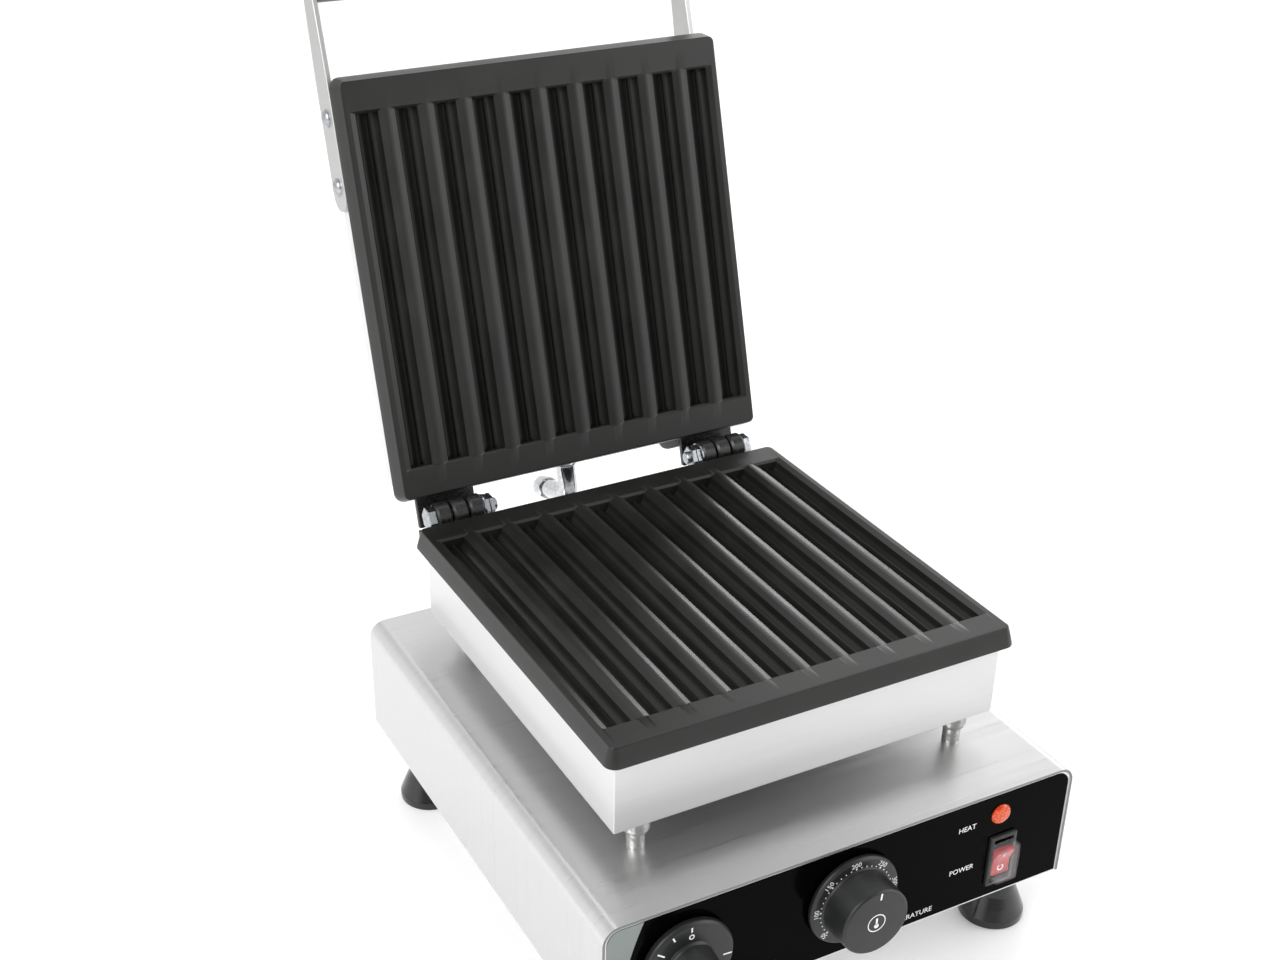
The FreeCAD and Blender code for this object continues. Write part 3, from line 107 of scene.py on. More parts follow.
class PlateSizes(bpy.types.PropertyGroup):
    """The two cast plates."""

    side: size("Side", 250, "Width and depth of a plate's face")
    height: size("Height", 11.4, "Height of a plate's flared side")
    flare: size("Flare", 3, "How far a plate's sides flare out")
    corner: size("Corner", 3.8, "Radius of a plate's corners")
    pitch: size("Groove pitch", 24.6, "Distance from groove to groove")
    width: size("Groove width", 21, "Width of a groove at the face")
    margin: size("Groove margin", 17.5, "Distance of the grooves' ends from the plate's edge")
    bevel_width: size("Bevel width", 3.4, "Width of a groove's bevelled edge")
    bevel_depth: size("Bevel depth", 1.4, "Depth of a groove's bevelled edge")
    ridge: size("Ridge depth", 4.2, "Depth of the ridge in a groove's middle")
    depth: size("Groove depth", 8.2, "Depth of a groove's two valleys")
    count: IntProperty(name="Grooves", description="Number of grooves in a plate", default=10, min=1)


class LidSizes(bpy.types.PropertyGroup):
    """Lid cover, hinges and handle, all drawn closed from the hinge axis."""

    face: size("Face height", 3.3, "Height of the closed upper plate's face above the hinge axis")
    back: size("Plate edge", 13.2, "Distance from the hinge axis to the plates' rear edge")
    inset: size("Tray inset", 3.5, "How far the trays stand inside the plates' edges")
    cover: size("Cover height", 34.1, "Height of the lid's cover")
    cover_bend: size("Cover bend", 7, "Radius of the cover's outer edges")
    knuckle: size("Knuckle radius", 9, "Radius of the hinge knuckles")
    arm_rise: size("Arm height", 37.3, "Height of the handle arms' middle above the hinge axis")
    arm_width: size("Arm width", 21, "Width of a handle arm on the lid")
    arm_tip: size("Arm tip width", 15, "Width of a handle arm at the grip")
    reach: size("Handle reach", 60, "Distance of the grip's axis before the plate's front edge")
    grip: size("Grip radius", 13.5, "Radius of the grip")


class ControlSizes(bpy.types.PropertyGroup):
    """Knobs, lamp and switch on the front."""

    height: size("Knob height", 39, "Height of the knobs' axes above the box's bottom")
    dial_x: size("Dial place", 1, "Thermostat's place across the front")
    dial_radius: size("Dial radius", 28.3, "Radius of the thermostat's skirt")
    dial_grip: size("Dial grip radius", 21.3, "Radius of the thermostat's grip")
    dial_reach: size("Dial reach", 24, "How far the thermostat knob stands out")
    timer_x: size("Timer place", -102, "Timer's place across the front")
    timer_radius: size("Timer radius", 26.6, "Radius of the timer's disc")
    timer_grip: size("Timer grip radius", 13.5, "Radius of the timer's grip")
    timer_reach: size("Timer reach", 22, "How far the timer's grip stands out")
    lamp_x: size("Lamp place", 99.9, "Lamp's place across the front")
    lamp_z: size("Lamp height", 59, "Height of the lamp above the box's bottom")
    rocker_x: size("Switch place", 103.8, "Switch's place across the front")
    rocker_z: size("Switch height", 26.6, "Height of the switch above the box's bottom")


class Finishes(bpy.types.PropertyGroup):
    """Colours of the materials."""

    steel: colour("Stainless steel", "#d6d6d6", "Brushed stainless sheet")
    coating: colour("Non-stick coating", "#181a17", "Sprayed non-stick coating on the cast plates")
    # A paler grey: mixed into the coating in random patches, and onto the plates' sharp outer edges as a painted
    # highlight.
    coating_worn: colour("Thin coating", "#2c2c29", "Where the coating is thin, at the plates' edges")
    film: colour("Printed film", "#030303", "Black printed front film")
    film_grey: colour("Film grey", "#8b9290", "Grey field at the film's left end")
    print_white: colour("Print", "#e6e8e8", "White print on film and knobs")
    foot: colour("Feet", "#09090c", "Moulded black feet")
    knob: colour("Knobs", "#151616", "Moulded knobs")
    grip: colour("Grip", "#141415", "Moulded grip")
    iron: colour("Hinges", "#1b1b1c", "Black enamelled hinge castings")
    zinc: colour("Zinc", "#b0b3b7", "Zinc-plated screws and nuts")
    chrome: colour("Chrome", "#cdced0", "Chrome-plated brass and pillars")
    lamp: colour("Lamp", "#e2640a", "Orange lamp lens")
    rocker: colour("Rocker", "#c4122a", "Red switch button")
    cover: colour("Splash cover", "#f6f3f4", "Clear soft cover of the switch")
    wool: colour("Insulation", "#d9d3c2", "Mineral wool slabs")


# --- meshes ---

def quads(rows, columns, wrap):
    """Corner numbers of the faces between the rows of a grid, whose columns may join up in a ring."""
    last = columns if wrap else columns - 1
    row = np.arange(rows - 1)[:, None] * columns
    here = np.arange(last)[None, :]
    there = (here + 1) % columns
    return np.stack([row + here, row + there, row + columns + there, row + columns + here], -1).reshape(-1, 4)


def shell_of(rings, close_first=True, close_last=True):
    """A tube of rings, one after another, with its first and last ring filled in if asked."""
    rings = np.asarray(rings, float)
    count, around = rings.shape[:2]
    faces = quads(count, around, True).tolist()
    if close_first:
        faces.append(list(range(around))[::-1])
    if close_last:
        faces.append([(count - 1) * around + n for n in range(around)])
    return rings.reshape(-1, 3), faces


def cup_of(rings, outer):
    """A deep dish: rings run up the outer wall, over the closed end and back down inside, then meet at the rim.

    The first `outer` rings belong to the outer wall and its end face, and the others to the inner one.
    """
    count, around = rings.shape[:2]
    step = np.arange(around)
    faces = [*quads(outer, around, True), *(quads(count - outer, around, True) + outer * around)]
    faces += [(outer - 1) * around + step, outer * around + step[::-1]]
    after, last = (step + 1) % around, (count - 1) * around
    faces += [*np.stack([last + step, last + after, after, step], -1)]
    return rings.reshape(-1, 3), [face.tolist() for face in faces]


def turn_round(points, axis):
    """Points given as across, up and along are laid on X, Y or Z as their length axis."""
    a, b, w = points[..., 0], points[..., 1], points[..., 2]
    if axis == "Z":
        return np.stack([a, b, w], -1)
    if axis == "Y":
        return np.stack([a, w, b], -1)
    return np.stack([w, a, b], -1)


def circle(count):
    """Points on the unit circle: cosine and sine of equal steps."""
    angle = np.arange(count) * 2 * np.pi / count
    return np.stack([np.cos(angle), np.sin(angle)], -1)


def lathe(profile, centre, axis="Z", around=64):
    """A turned shape: each profile pair, radius and place along the axis, becomes a circle of that radius."""
    profile = np.asarray(profile, float)
    ring = circle(around)
    flat = profile[:, None, :1] * ring
    along = np.broadcast_to(profile[:, None, 1:], flat.shape[:2] + (1,))
    points = turn_round(np.concatenate([flat, along], -1), axis) + np.asarray(centre, float)
    return shell_of(points, profile[0, 0] > 1e-7, profile[-1, 0] > 1e-7)


def soft_profile(corners, radius, steps=5):
    """A profile with its inner corners rounded: near each corner the line follows a quadratic curve."""
    corners = np.asarray(corners, float)
    points = [corners[0]]
    share = np.linspace(0, 1, steps + 1)[:, None]
    for before, here, after in zip(corners[:-2], corners[1:-1], corners[2:]):
        reach_in, reach_out = np.linalg.norm(before - here), np.linalg.norm(after - here)
        start = here + (before - here) * min(radius / max(reach_in, 1e-9), 0.45)
        end = here + (after - here) * min(radius / max(reach_out, 1e-9), 0.45)
        points.extend((1 - share) ** 2 * start + 2 * share * (1 - share) * here + share ** 2 * end)
    points.append(corners[-1])
    return np.array(points)


def rounded_rectangle(half_a, half_b, radius, steps=6):
    """Outline of a rectangle with quarter circles at its corners, anticlockwise."""
    radius = min(max(radius, 1e-5), half_a * 0.999, half_b * 0.999)
    angle = np.linspace(0, np.pi / 2, steps + 1)
    ring = []
    for n, signs in enumerate(((1, 1), (-1, 1), (-1, -1), (1, -1))):
        turn = angle + n * np.pi / 2
        arc = radius * np.stack([np.cos(turn), np.sin(turn)], -1)
        ring.append(arc + np.array(signs) * [half_a - radius, half_b - radius])
    return np.concatenate(ring)


def stack_rings(half_a, half_b, steps, corner):
    """Rounded rectangles one above another: each step is an inset from the outline and a place along the axis.

    corner gives the radius of a rectangle's corners from its inset.
    """
    rings = []
    for inset, along in steps:
        flat = rounded_rectangle(half_a - inset, half_b - inset, corner(inset))
        rings.append(np.column_stack([flat, np.full(len(flat), along)]))
    return np.array(rings)


def stacked(half_a, half_b, radius, steps, centre, axis="Z"):
    """A solid of stacked rounded rectangles, whose corners shrink with the inset."""
    rings = stack_rings(half_a, half_b, steps, lambda inset: radius - inset)
    return shell_of(turn_round(rings, axis) + np.asarray(centre, float))


def bevelled(low, high, edge, steps=3):
    """Steps of a slab whose two rims are rounded: quarter circles of the edge radius at both ends."""
    angle = np.linspace(0, np.pi / 2, steps + 1)
    first = [(edge * (1 - math.sin(t)), low + edge * (1 - math.cos(t))) for t in angle]
    last = [(edge * (1 - math.cos(t)), high - edge * (1 - math.sin(t))) for t in angle]
    return first + last


def brick(low, high, edge, axis="Z"):
    """A box between two corners with rounded edges."""
    low, high = np.asarray(low, float), np.asarray(high, float)
    middle, half = (low + high) / 2, (high - low) / 2
    order = {"Z": (0, 1, 2), "Y": (0, 2, 1), "X": (1, 2, 0)}[axis]
    a, b, w = (half[n] for n in order)
    return stacked(a, b, edge * 1.01, bevelled(-w, w, edge), middle, axis)


def prism(outline, insets, axis, centre):
    """An outline carried along an axis: each step is a distance that the outline shrinks by and a place."""
    outline = np.asarray(outline, float)
    edge_in = outline - np.roll(outline, 1, 0)
    edge_out = np.roll(outline, -1, 0) - outline
    edge_in /= np.linalg.norm(edge_in, axis=1)[:, None]
    edge_out /= np.linalg.norm(edge_out, axis=1)[:, None]
    normal_in = np.stack([edge_in[:, 1], -edge_in[:, 0]], -1)
    normal_out = np.stack([edge_out[:, 1], -edge_out[:, 0]], -1)
    mitre = (normal_in + normal_out) / (1 + np.sum(normal_in * normal_out, 1))[:, None]
    rings = [np.column_stack([outline - mitre * inset, np.full(len(outline), along)]) for inset, along in insets]
    return shell_of(turn_round(np.array(rings), axis) + np.asarray(centre, float))


def hexagon(flats, low, high, chamfer, centre, axis="X"):
    """A hexagonal prism with its rims chamfered."""
    ring = circle(6) * flats / math.sqrt(3)
    steps = [(chamfer, low), (0, low + chamfer * 0.6), (0, high - chamfer * 0.6), (chamfer, high)]
    return prism(ring, steps, axis, centre)


def tube(path, radius, around=32):
    """A round tube along points in the plane X = constant: each ring stands square to the path."""
    path = np.asarray(path, float)
    step = np.gradient(path, axis=0)
    step /= np.linalg.norm(step, axis=1)[:, None]
    side = np.array([1.0, 0.0, 0.0])
    up = np.cross(step, side)
    ring = circle(around) * radius
    points = path[:, None] + ring[None, :, :1] * side + ring[None, :, 1:] * up[:, None]
    return shell_of(points)


def opened(shell):
    """A shell of the lid, drawn closed from the hinge axis, turned to the open lid's place."""
    points, faces = shell
    x, y, z = np.asarray(points, float).T
    cos, sin = math.cos(OPEN_ANGLE), math.sin(OPEN_ANGLE)
    return np.stack([x, y * cos + z * sin, z * cos - y * sin], -1) + HINGE, faces


def boxed(shell):
    """A shell of the base, drawn from the box's front bottom edge, moved to its place."""
    points, faces = shell
    return np.asarray(points, float) + BOX_ORIGIN, faces


def node_box(name):
    """A CAD node's low corner, high corner and middle."""
    low, high = (np.array(corner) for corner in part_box(name))
    return low, high, (low + high) / 2


def both_sides(make):
    """The shells of the left and the right piece, made by a function of the side, -1 or 1."""
    return [shell for side in (-1, 1) for shell in make(side)]


def add_piece(name, shells, body, slot, replaces=(), sharp=35, finish=None):
    """Joins shells into one object with outward normals that rides on a body and wears its slot's finish."""
    points, faces, offset = [], [], 0
    for shell_points, shell_faces in shells:
        points.append(np.asarray(shell_points, float))
        faces.extend([[corner + offset for corner in face] for face in shell_faces])
        offset += len(shell_points)
    mesh = bpy.data.meshes.new(name)
    mesh.from_pydata(np.concatenate(points).tolist(), [], faces)
    work = bmesh.new()
    work.from_mesh(mesh)
    bmesh.ops.remove_doubles(work, verts=work.verts, dist=2e-6)
    bmesh.ops.recalc_face_normals(work, faces=work.faces)
    work.to_mesh(mesh)
    work.free()
    mesh.shade_smooth()
    mesh.set_sharp_from_angle(angle=math.radians(sharp))
    mesh.materials.append(MATERIALS[finish or SLOT_FINISH[slot]])
    made = bpy.data.objects.new(name, mesh)
    bpy.context.scene.collection.objects.link(made)
    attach(made, body)
    if replaces:
        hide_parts(*replaces)
    return made


def letters(text, height):
    """Flat letters in millimetres, centred on their own box, from Blender's own font."""
    curve = bpy.data.curves.new("letters", "FONT")
    curve.body = text
    curve.size = height * MM / 0.7  # capitals are 0.7 of the font's size
    curve.align_x = "CENTER"
    curve.resolution_u = 3
    holder = bpy.data.objects.new("letters", curve)
    bpy.context.scene.collection.objects.link(holder)
    bpy.context.view_layer.update()
    mesh = bpy.data.meshes.new_from_object(holder.evaluated_get(bpy.context.evaluated_depsgraph_get()))
    points = np.array([v.co for v in mesh.vertices], float).reshape(-1, 3)[:, :2]
    faces = [list(face.vertices) for face in mesh.polygons]
    bpy.data.objects.remove(holder)
    bpy.data.curves.remove(curve)
    bpy.data.meshes.remove(mesh)
    middle = (points.min(0) + points.max(0)) / 2
    return (points - middle) / MM, faces


def printed(flat, place):
    """A thin raised print: a flat outline mesh given a front and a back, with walls round its open edges."""
    points, faces = flat
    count = len(points)
    front, back = place(points, PRINT), place(points, 0.0)
    used = {(a, b): True for face in faces for a, b in zip(face, face[1:] + face[:1])}
    rims = [(a, b) for a, b in used if (b, a) not in used]
    walls = [[b, a, a + count, b + count] for a, b in rims]
    backs = [[corner + count for corner in face][::-1] for face in faces]
    return np.concatenate([front, back]), faces + backs + walls


# --- materials ---

def add_node(tree, kind, settings=None, links=None):
    """Adds a node, sets its properties and sockets by name or number, and links sockets to outputs."""
    made = tree.nodes.new(kind)
    for key, value in (settings or {}).items():
        if isinstance(key, str) and hasattr(made, key):
            setattr(made, key, value)
        else:
            made.inputs[key].default_value = value
    for key, source in (links or {}).items():
        tree.links.new(source, made.inputs[key])
    return made


def new_finish(name, settings):
    """A material with one surface shader whose own sockets hold the uniform values."""
    material = bpy.data.materials.new(name)
    material.use_nodes = True
    tree = material.node_tree
    tree.nodes.clear()
    surface = add_node(tree, "ShaderNodeBsdfPrincipled", settings)
    add_node(tree, "ShaderNodeOutputMaterial", {}, {"Surface": surface.outputs[0]})
    place = add_node(tree, "ShaderNodeTexCoord").outputs["Object"]
    return material, tree, surface, place


def ranged(tree, source, low, high, start=0.0, end=1.0):
    """A value carried from one range to another."""
    settings = {"From Min": start, "From Max": end, "To Min": low, "To Max": high}
    return add_node(tree, "ShaderNodeMapRange", settings, {"Value": source}).outputs[0]


def mixed(tree, share, first, second):
    """A colour between two colours."""
    node = add_node(tree, "ShaderNodeMix", {"data_type": "RGBA", 6: first, 7: second}, {0: share})
    return node.outputs[2]


def grain(tree, place, millimetres, detail=2.0, stretch=(1, 1, 1), roughness=0.5):
    """Noise whose patches are about as large as given, longer along an axis by the stretch."""
    scale = tuple(1 / (millimetres * MM * s) for s in stretch)
    mapped = add_node(tree, "ShaderNodeMapping", {"Scale": scale}, {"Vector": place}).outputs[0]
    settings = {"Scale": 1.0, "Detail": detail, "Roughness": roughness}
    return add_node(tree, "ShaderNodeTexNoise", settings, {"Vector": mapped}).outputs["Fac"]


def shaded(tint, factor, lift=0.0):
    """A colour made lighter or darker by a factor."""
    return tuple(min(1.0, factor * c + lift) for c in tint[:3]) + (1.0,)


def painted(tree, surface, source, first, second, start, end, sockets=("Base Color",)):
    """Colours the surface between two colours as the source goes from start to end."""
    result = mixed(tree, ranged(tree, source, 0, 1, start, end), first, second)
    for socket in sockets:
        tree.links.new(result, surface.inputs[socket])


def roughened(tree, surface, source, low, high, start=0.3, end=0.7):
    """Varies the roughness with the source."""
    tree.links.new(ranged(tree, source, low, high, start, end), surface.inputs["Roughness"])


def bumped(tree, surface, source, millimetres, strength=1.0):
    """A bump of the given height on the surface."""
    settings = {"Strength": strength, "Distance": millimetres * MM}
    bump = add_node(tree, "ShaderNodeBump", settings, {"Height": source})
    tree.links.new(bump.outputs[0], surface.inputs["Normal"])


def brushed_stainless(name, tint, across, rough=(0.26, 0.4), metal=1.0):
    """AISI 304 sheet, ground with a belt: fine parallel scratches that blur the reflections across them.

    across is the share of X, Y and Z in the coordinate that crosses the scratches. The belt's real grit of
    0.1 mm is drawn at about 0.5 mm so that it shows.
    """
    settings = {"Metallic": metal, "Roughness": 0.32, "Base Color": tint}
    material, tree, surface, place = new_finish(name, settings)
    over, along = (
        add_node(tree, "ShaderNodeVectorMath", {"operation": "DOT_PRODUCT", 1: weights}, {0: place}).outputs["Value"]
        for weights in (across, tuple(1 - w for w in across))
    )
    flat = add_node(tree, "ShaderNodeCombineXYZ", {}, {0: over, 1: along}).outputs[0]
    scratches = grain(tree, flat, 0.5, 3.0, (1, 160, 1), 0.6)
    broad = grain(tree, flat, 5, 2.0, (1, 60, 1))
    mix = add_node(tree, "ShaderNodeMath", {"operation": "ADD"}, {0: scratches, 1: broad}).outputs[0]
    roughened(tree, surface, mix, *rough, 0.7, 1.3)
    painted(tree, surface, mix, shaded(tint, 0.94), tint, 0.6, 1.3)
    bumped(tree, surface, scratches, 0.01, 0.3)
    return material


def nonstick_cast(tint, pale_and_highlight):
    """Sprayed PTFE coating on cast metal: dark, slightly green, with a pebbled satin skin, paler in random patches
    and lighter on sharp outer edges as a painted highlight.
    """
    settings = {"Roughness": 0.42, "IOR": 1.45, "Base Color": tint}
    material, tree, surface, place = new_finish("nonstick_cast", settings)
    pebble = grain(tree, place, 0.9, 4.0)
    cloud = grain(tree, place, 38, 3.0)
    # Sharp outer edges, found by pointiness, go towards the paler grey: a painted highlight along ridges and rims.
    edge = add_node(tree, "ShaderNodeNewGeometry").outputs["Pointiness"]
    thin = ranged(tree, edge, 0.0, 0.7, 0.53, 0.64)
    base = mixed(tree, ranged(tree, cloud, 0, 0.35, 0.35, 0.7), tint, pale_and_highlight)
    blend = add_node(tree, "ShaderNodeMix", {"data_type": "RGBA", 7: pale_and_highlight}, {0: thin, 6: base}).outputs[2]
    tree.links.new(blend, surface.inputs["Base Color"])
    roughened(tree, surface, cloud, 0.33, 0.42)
    bumped(tree, surface, pebble, 0.06, 0.5)
    return material


def printed_film(tint, grey):
    """Back-printed polyester film: deep gloss black with a grey field whose edge is a long curve."""
    settings = {"Roughness": 0.12, "IOR": 1.5, "Base Color": tint, "Specular IOR Level": 0.02}
    material, tree, surface, place = new_finish("printed_film", settings)
    axes = add_node(tree, "ShaderNodeSeparateXYZ", {}, {0: place})
    # The curve bows out towards the bottom: x = -0.1405 + 0.0153 * (share of height) ** 2.2.
    height = ranged(tree, axes.outputs[2], 0, 1, float(BOX_ORIGIN[2]), float(BOX_ORIGIN[2]) + 75 * MM)
    squared = add_node(tree, "ShaderNodeMath", {"operation": "POWER", 1: 2.2}, {0: height}).outputs[0]
    settings = {"operation": "MULTIPLY_ADD", 1: 0.0153, 2: -0.1405}
    line = add_node(tree, "ShaderNodeMath", settings, {0: squared}).outputs[0]
    beyond = add_node(tree, "ShaderNodeMath", {"operation": "LESS_THAN"}, {0: axes.outputs[0], 1: line}).outputs[0]
    tree.links.new(mixed(tree, beyond, tint, grey), surface.inputs["Base Color"])
    wave = grain(tree, place, 30, 1.0)
    roughened(tree, surface, wave, 0.08, 0.18)
    return material


def moulded(name, tint, rough, texture, coat=0.0):
    """Injection-moulded thermoplastic: even colour, a fine eroded texture and faint flow marks."""
    settings = {"Roughness": rough, "IOR": 1.5, "Base Color": tint}
    settings.update({"Coat Weight": coat, "Coat Roughness": 0.12})
    material, tree, surface, place = new_finish(name, settings)
    fine, flow = grain(tree, place, texture, 3.0), grain(tree, place, 14, 2.0)
    painted(tree, surface, flow, tint, shaded(tint, 1.25, 0.002), 0.35, 0.7)
    roughened(tree, surface, fine, rough * 0.85, rough * 1.2)
    bumped(tree, surface, fine, 0.03, 0.35)
    return material


def plated(name, tint, rough):
    """Electroplated metal: bright, with slow waves from the part beneath and small stains."""
    material, tree, surface, place = new_finish(name, {"Metallic": 1.0, "Roughness": rough, "Base Color": tint})
    stain = grain(tree, place, 2.5, 3.0)
    painted(tree, surface, stain, shaded(tint, 0.72), tint, 0.3, 0.6)
    roughened(tree, surface, stain, rough * 1.6, rough * 0.8)
    bumped(tree, surface, stain, 0.02, 0.3)
    return material


def enamelled_iron(tint):
    """Black enamel on cast iron: the casting's orange-peel grain under a half-gloss paint."""
    settings = {"Roughness": 0.3, "IOR": 1.5, "Base Color": tint}
    material, tree, surface, place = new_finish("enamelled_iron", settings)
    peel = grain(tree, place, 1.6, 3.0)
    painted(tree, surface, peel, tint, shaded(tint, 1.8), 0.4, 0.75)
    roughened(tree, surface, peel, 0.22, 0.42)
    bumped(tree, surface, peel, 0.12, 0.5)
    return material


def lamp_polycarbonate(tint):
    """Orange polycarbonate lens with fine ribs inside, lit from behind by its lamp."""
    settings = {"Roughness": 0.08, "IOR": 1.58, "Base Color": tint}
    settings.update({"Emission Strength": 0.06, "Coat Weight": 0.2})
    material, tree, surface, place = new_finish("lamp_polycarbonate", settings)
    rib = 1.3 * MM
    cells = add_node(tree, "ShaderNodeTexVoronoi", {"Scale": 1 / rib}, {"Vector": place}).outputs["Distance"]
    deep = (tint[0] * 0.75, tint[1] * 0.25, tint[2] * 0.2, 1.0)
    painted(tree, surface, cells, tint, deep, 0.15, 0.65, ("Base Color", "Emission Color"))
    bumped(tree, surface, cells, 0.15, 0.4)
    return material


def red_polycarbonate(tint):
    """Translucent red polycarbonate button: glossy, with a soft glow from its neon lamp."""
    settings = {"Roughness": 0.2, "IOR": 1.58, "Base Color": tint, "Emission Strength": 0.1, "Coat Weight": 0.1}
    material, tree, surface, place = new_finish("red_polycarbonate", settings)
    cloud = grain(tree, place, 5, 2.0)
    deep = (tint[0] * 0.6, tint[1] * 0.3, tint[2] * 0.4, 1.0)
    painted(tree, surface, cloud, deep, tint, 0.35, 0.65, ("Base Color", "Emission Color"))
    bumped(tree, surface, grain(tree, place, 0.5, 2.0), 0.02, 0.3)
    return material


def clear_vinyl(tint):
    """Soft clear PVC splash cover: mostly see-through with glossy, slightly wavy walls."""
    settings = {"Roughness": 0.06, "IOR": 1.3, "Base Color": tint, "Alpha": 0.06, "Specular IOR Level": 0.9}
    material, tree, surface, place = new_finish("clear_vinyl", settings)
    waves = grain(tree, place, 3, 2.0)
    roughened(tree, surface, waves, 0.04, 0.12)
    bumped(tree, surface, waves, 0.25, 0.6)
    return material


def mineral_wool(tint):
    """Pressed mineral wool: matt fibres in clumps."""
    material, tree, surface, place = new_finish("mineral_wool", {"Roughness": 0.95, "Base Color": tint})
    fibres = grain(tree, place, 1.2, 5.0, (4, 1, 1))
    painted(tree, surface, fibres, shaded(tint, 0.6), tint, 0.35, 0.65)
    bumped(tree, surface, fibres, 0.6, 0.8)
    return material


MATERIALS = {}
# The last grey is a painted shade for the control box cover's edges, darker than its faces.
TRAY_STEEL, ARM_STEEL, SHADED_EDGE_STEEL = (linear(code) for code in ("#dededf", "#bcbcbb", "#8c8c8c"))


def make_materials(tints):
    """Makes every finish once, from the colours of the panel."""
    steel = tuple(tints.steel)
    finishes = (
        # Folded steel sheet: soft streaks along the belt's way; the cover's front and back edges get a duller, darker
        # steel as painted shade.
        ("sheet_top", brushed_stainless("brushed_stainless_cover", steel, (0, 1, 0))),
        ("sheet_tray", brushed_stainless("brushed_stainless_tray", TRAY_STEEL, (0, 0, 1), (0.42, 0.52), 0.65)),
        ("sheet_arm", brushed_stainless("brushed_stainless_arm", ARM_STEEL, (1, 0, 0), (0.32, 0.42), 0.85)),
        ("cut_edge", brushed_stainless("sheared_steel_edge", SHADED_EDGE_STEEL, (0, 0, 1), (0.5, 0.6))),
        # Plated metals: bright mirrors, only the pillars and the heater tube are blurred.
        ("nickel", plated("satin_nickel_pillars", linear("#c4c4c2"), 0.42)),
        ("zinc", plated("zinc_plated_steel", tuple(tints.zinc), 0.24)),
        ("chrome", plated("chrome_plated_brass", tuple(tints.chrome), 0.1)),
        ("element", plated("incoloy_element", linear("#6b6258"), 0.42)),
        # Coated castings: a pebbled satin skin on the plates with painted highlights on their sharp edges, orange
        # peel on the hinges.
        ("cast", nonstick_cast(tuple(tints.coating), tuple(tints.coating_worn))),
        ("iron", enamelled_iron(tuple(tints.iron))),
        # Printed film: deep gloss black, with matt white print.
        ("film", printed_film(tuple(tints.film), tuple(tints.film_grey))),
        ("print", moulded("white_print", tuple(tints.print_white), 0.45, 0.4)),
        # Mouldings: glossy feet, satin knobs, grip and housings, a matt case and seal.
        ("foot", moulded("gloss_abs_feet", tuple(tints.foot), 0.16, 2.2, 0.3)),
        ("knob", moulded("satin_abs_knobs", tuple(tints.knob), 0.42, 0.5)),
        ("grip", moulded("satin_nylon_grip", tuple(tints.grip), 0.34, 0.7)),
        ("housing", moulded("satin_nylon_housing", tuple(tints.knob), 0.4, 0.6)),
        ("case", moulded("urea_case", linear("#d8d3c4"), 0.5, 0.8)),
        ("rubber", moulded("epdm_seal", linear("#161616"), 0.7, 0.6)),
        # Clear plastics: a lit lens and button, and a see-through cover with bright edges.
        ("lamp", lamp_polycarbonate(tuple(tints.lamp))),
        ("rocker", red_polycarbonate(tuple(tints.rocker))),
        ("clear", clear_vinyl(tuple(tints.cover))),
        ("wool", mineral_wool(tuple(tints.wool))),
    )
    MATERIALS.update(finishes)


SLOT_FINISH = {
    "stainless": "sheet_top",
    "cast_plate": "cast",
    "overlay": "film",
    "foot_plastic": "foot",
    "zinc": "zinc",
    "chrome": "chrome",
    "heater_tube": "element",
    "wool": "wool",
    "hinge_iron": "iron",
    "handle_steel": "sheet_arm",
    "grip_black": "grip",
    "knob_black": "knob",
    "case_plastic": "case",
    "lens_orange": "lamp",
    "rocker_black": "housing",
    "rocker_red": "rocker",
    "clear_cover": "clear",
    "gland_black": "housing",
    "seal_rubber": "rubber",
}
TRAY_NODES = ("lower_pan", "lid_cover", "lid_stop_tab")


# --- pieces of the base ---

class BAKER_OT_finishes(bpy.types.Operator):
    """Makes the materials and gives every CAD node the one of its slot"""

    bl_idname = "baker.finishes"
    bl_label = "Finishes"

    def execute(self, context):
        make_materials(context.scene.baker_finishes)
        slots = {row["node"]: row["material_slot"] for row in frame["record"]["subparts"]}
        for name, node in frame["nodes"].items():
            key = "sheet_tray" if name in TRAY_NODES else SLOT_FINISH[slots[name]]
            node.data.materials.clear()
            node.data.materials.append(MATERIALS[key])
        return {"FINISHED"}


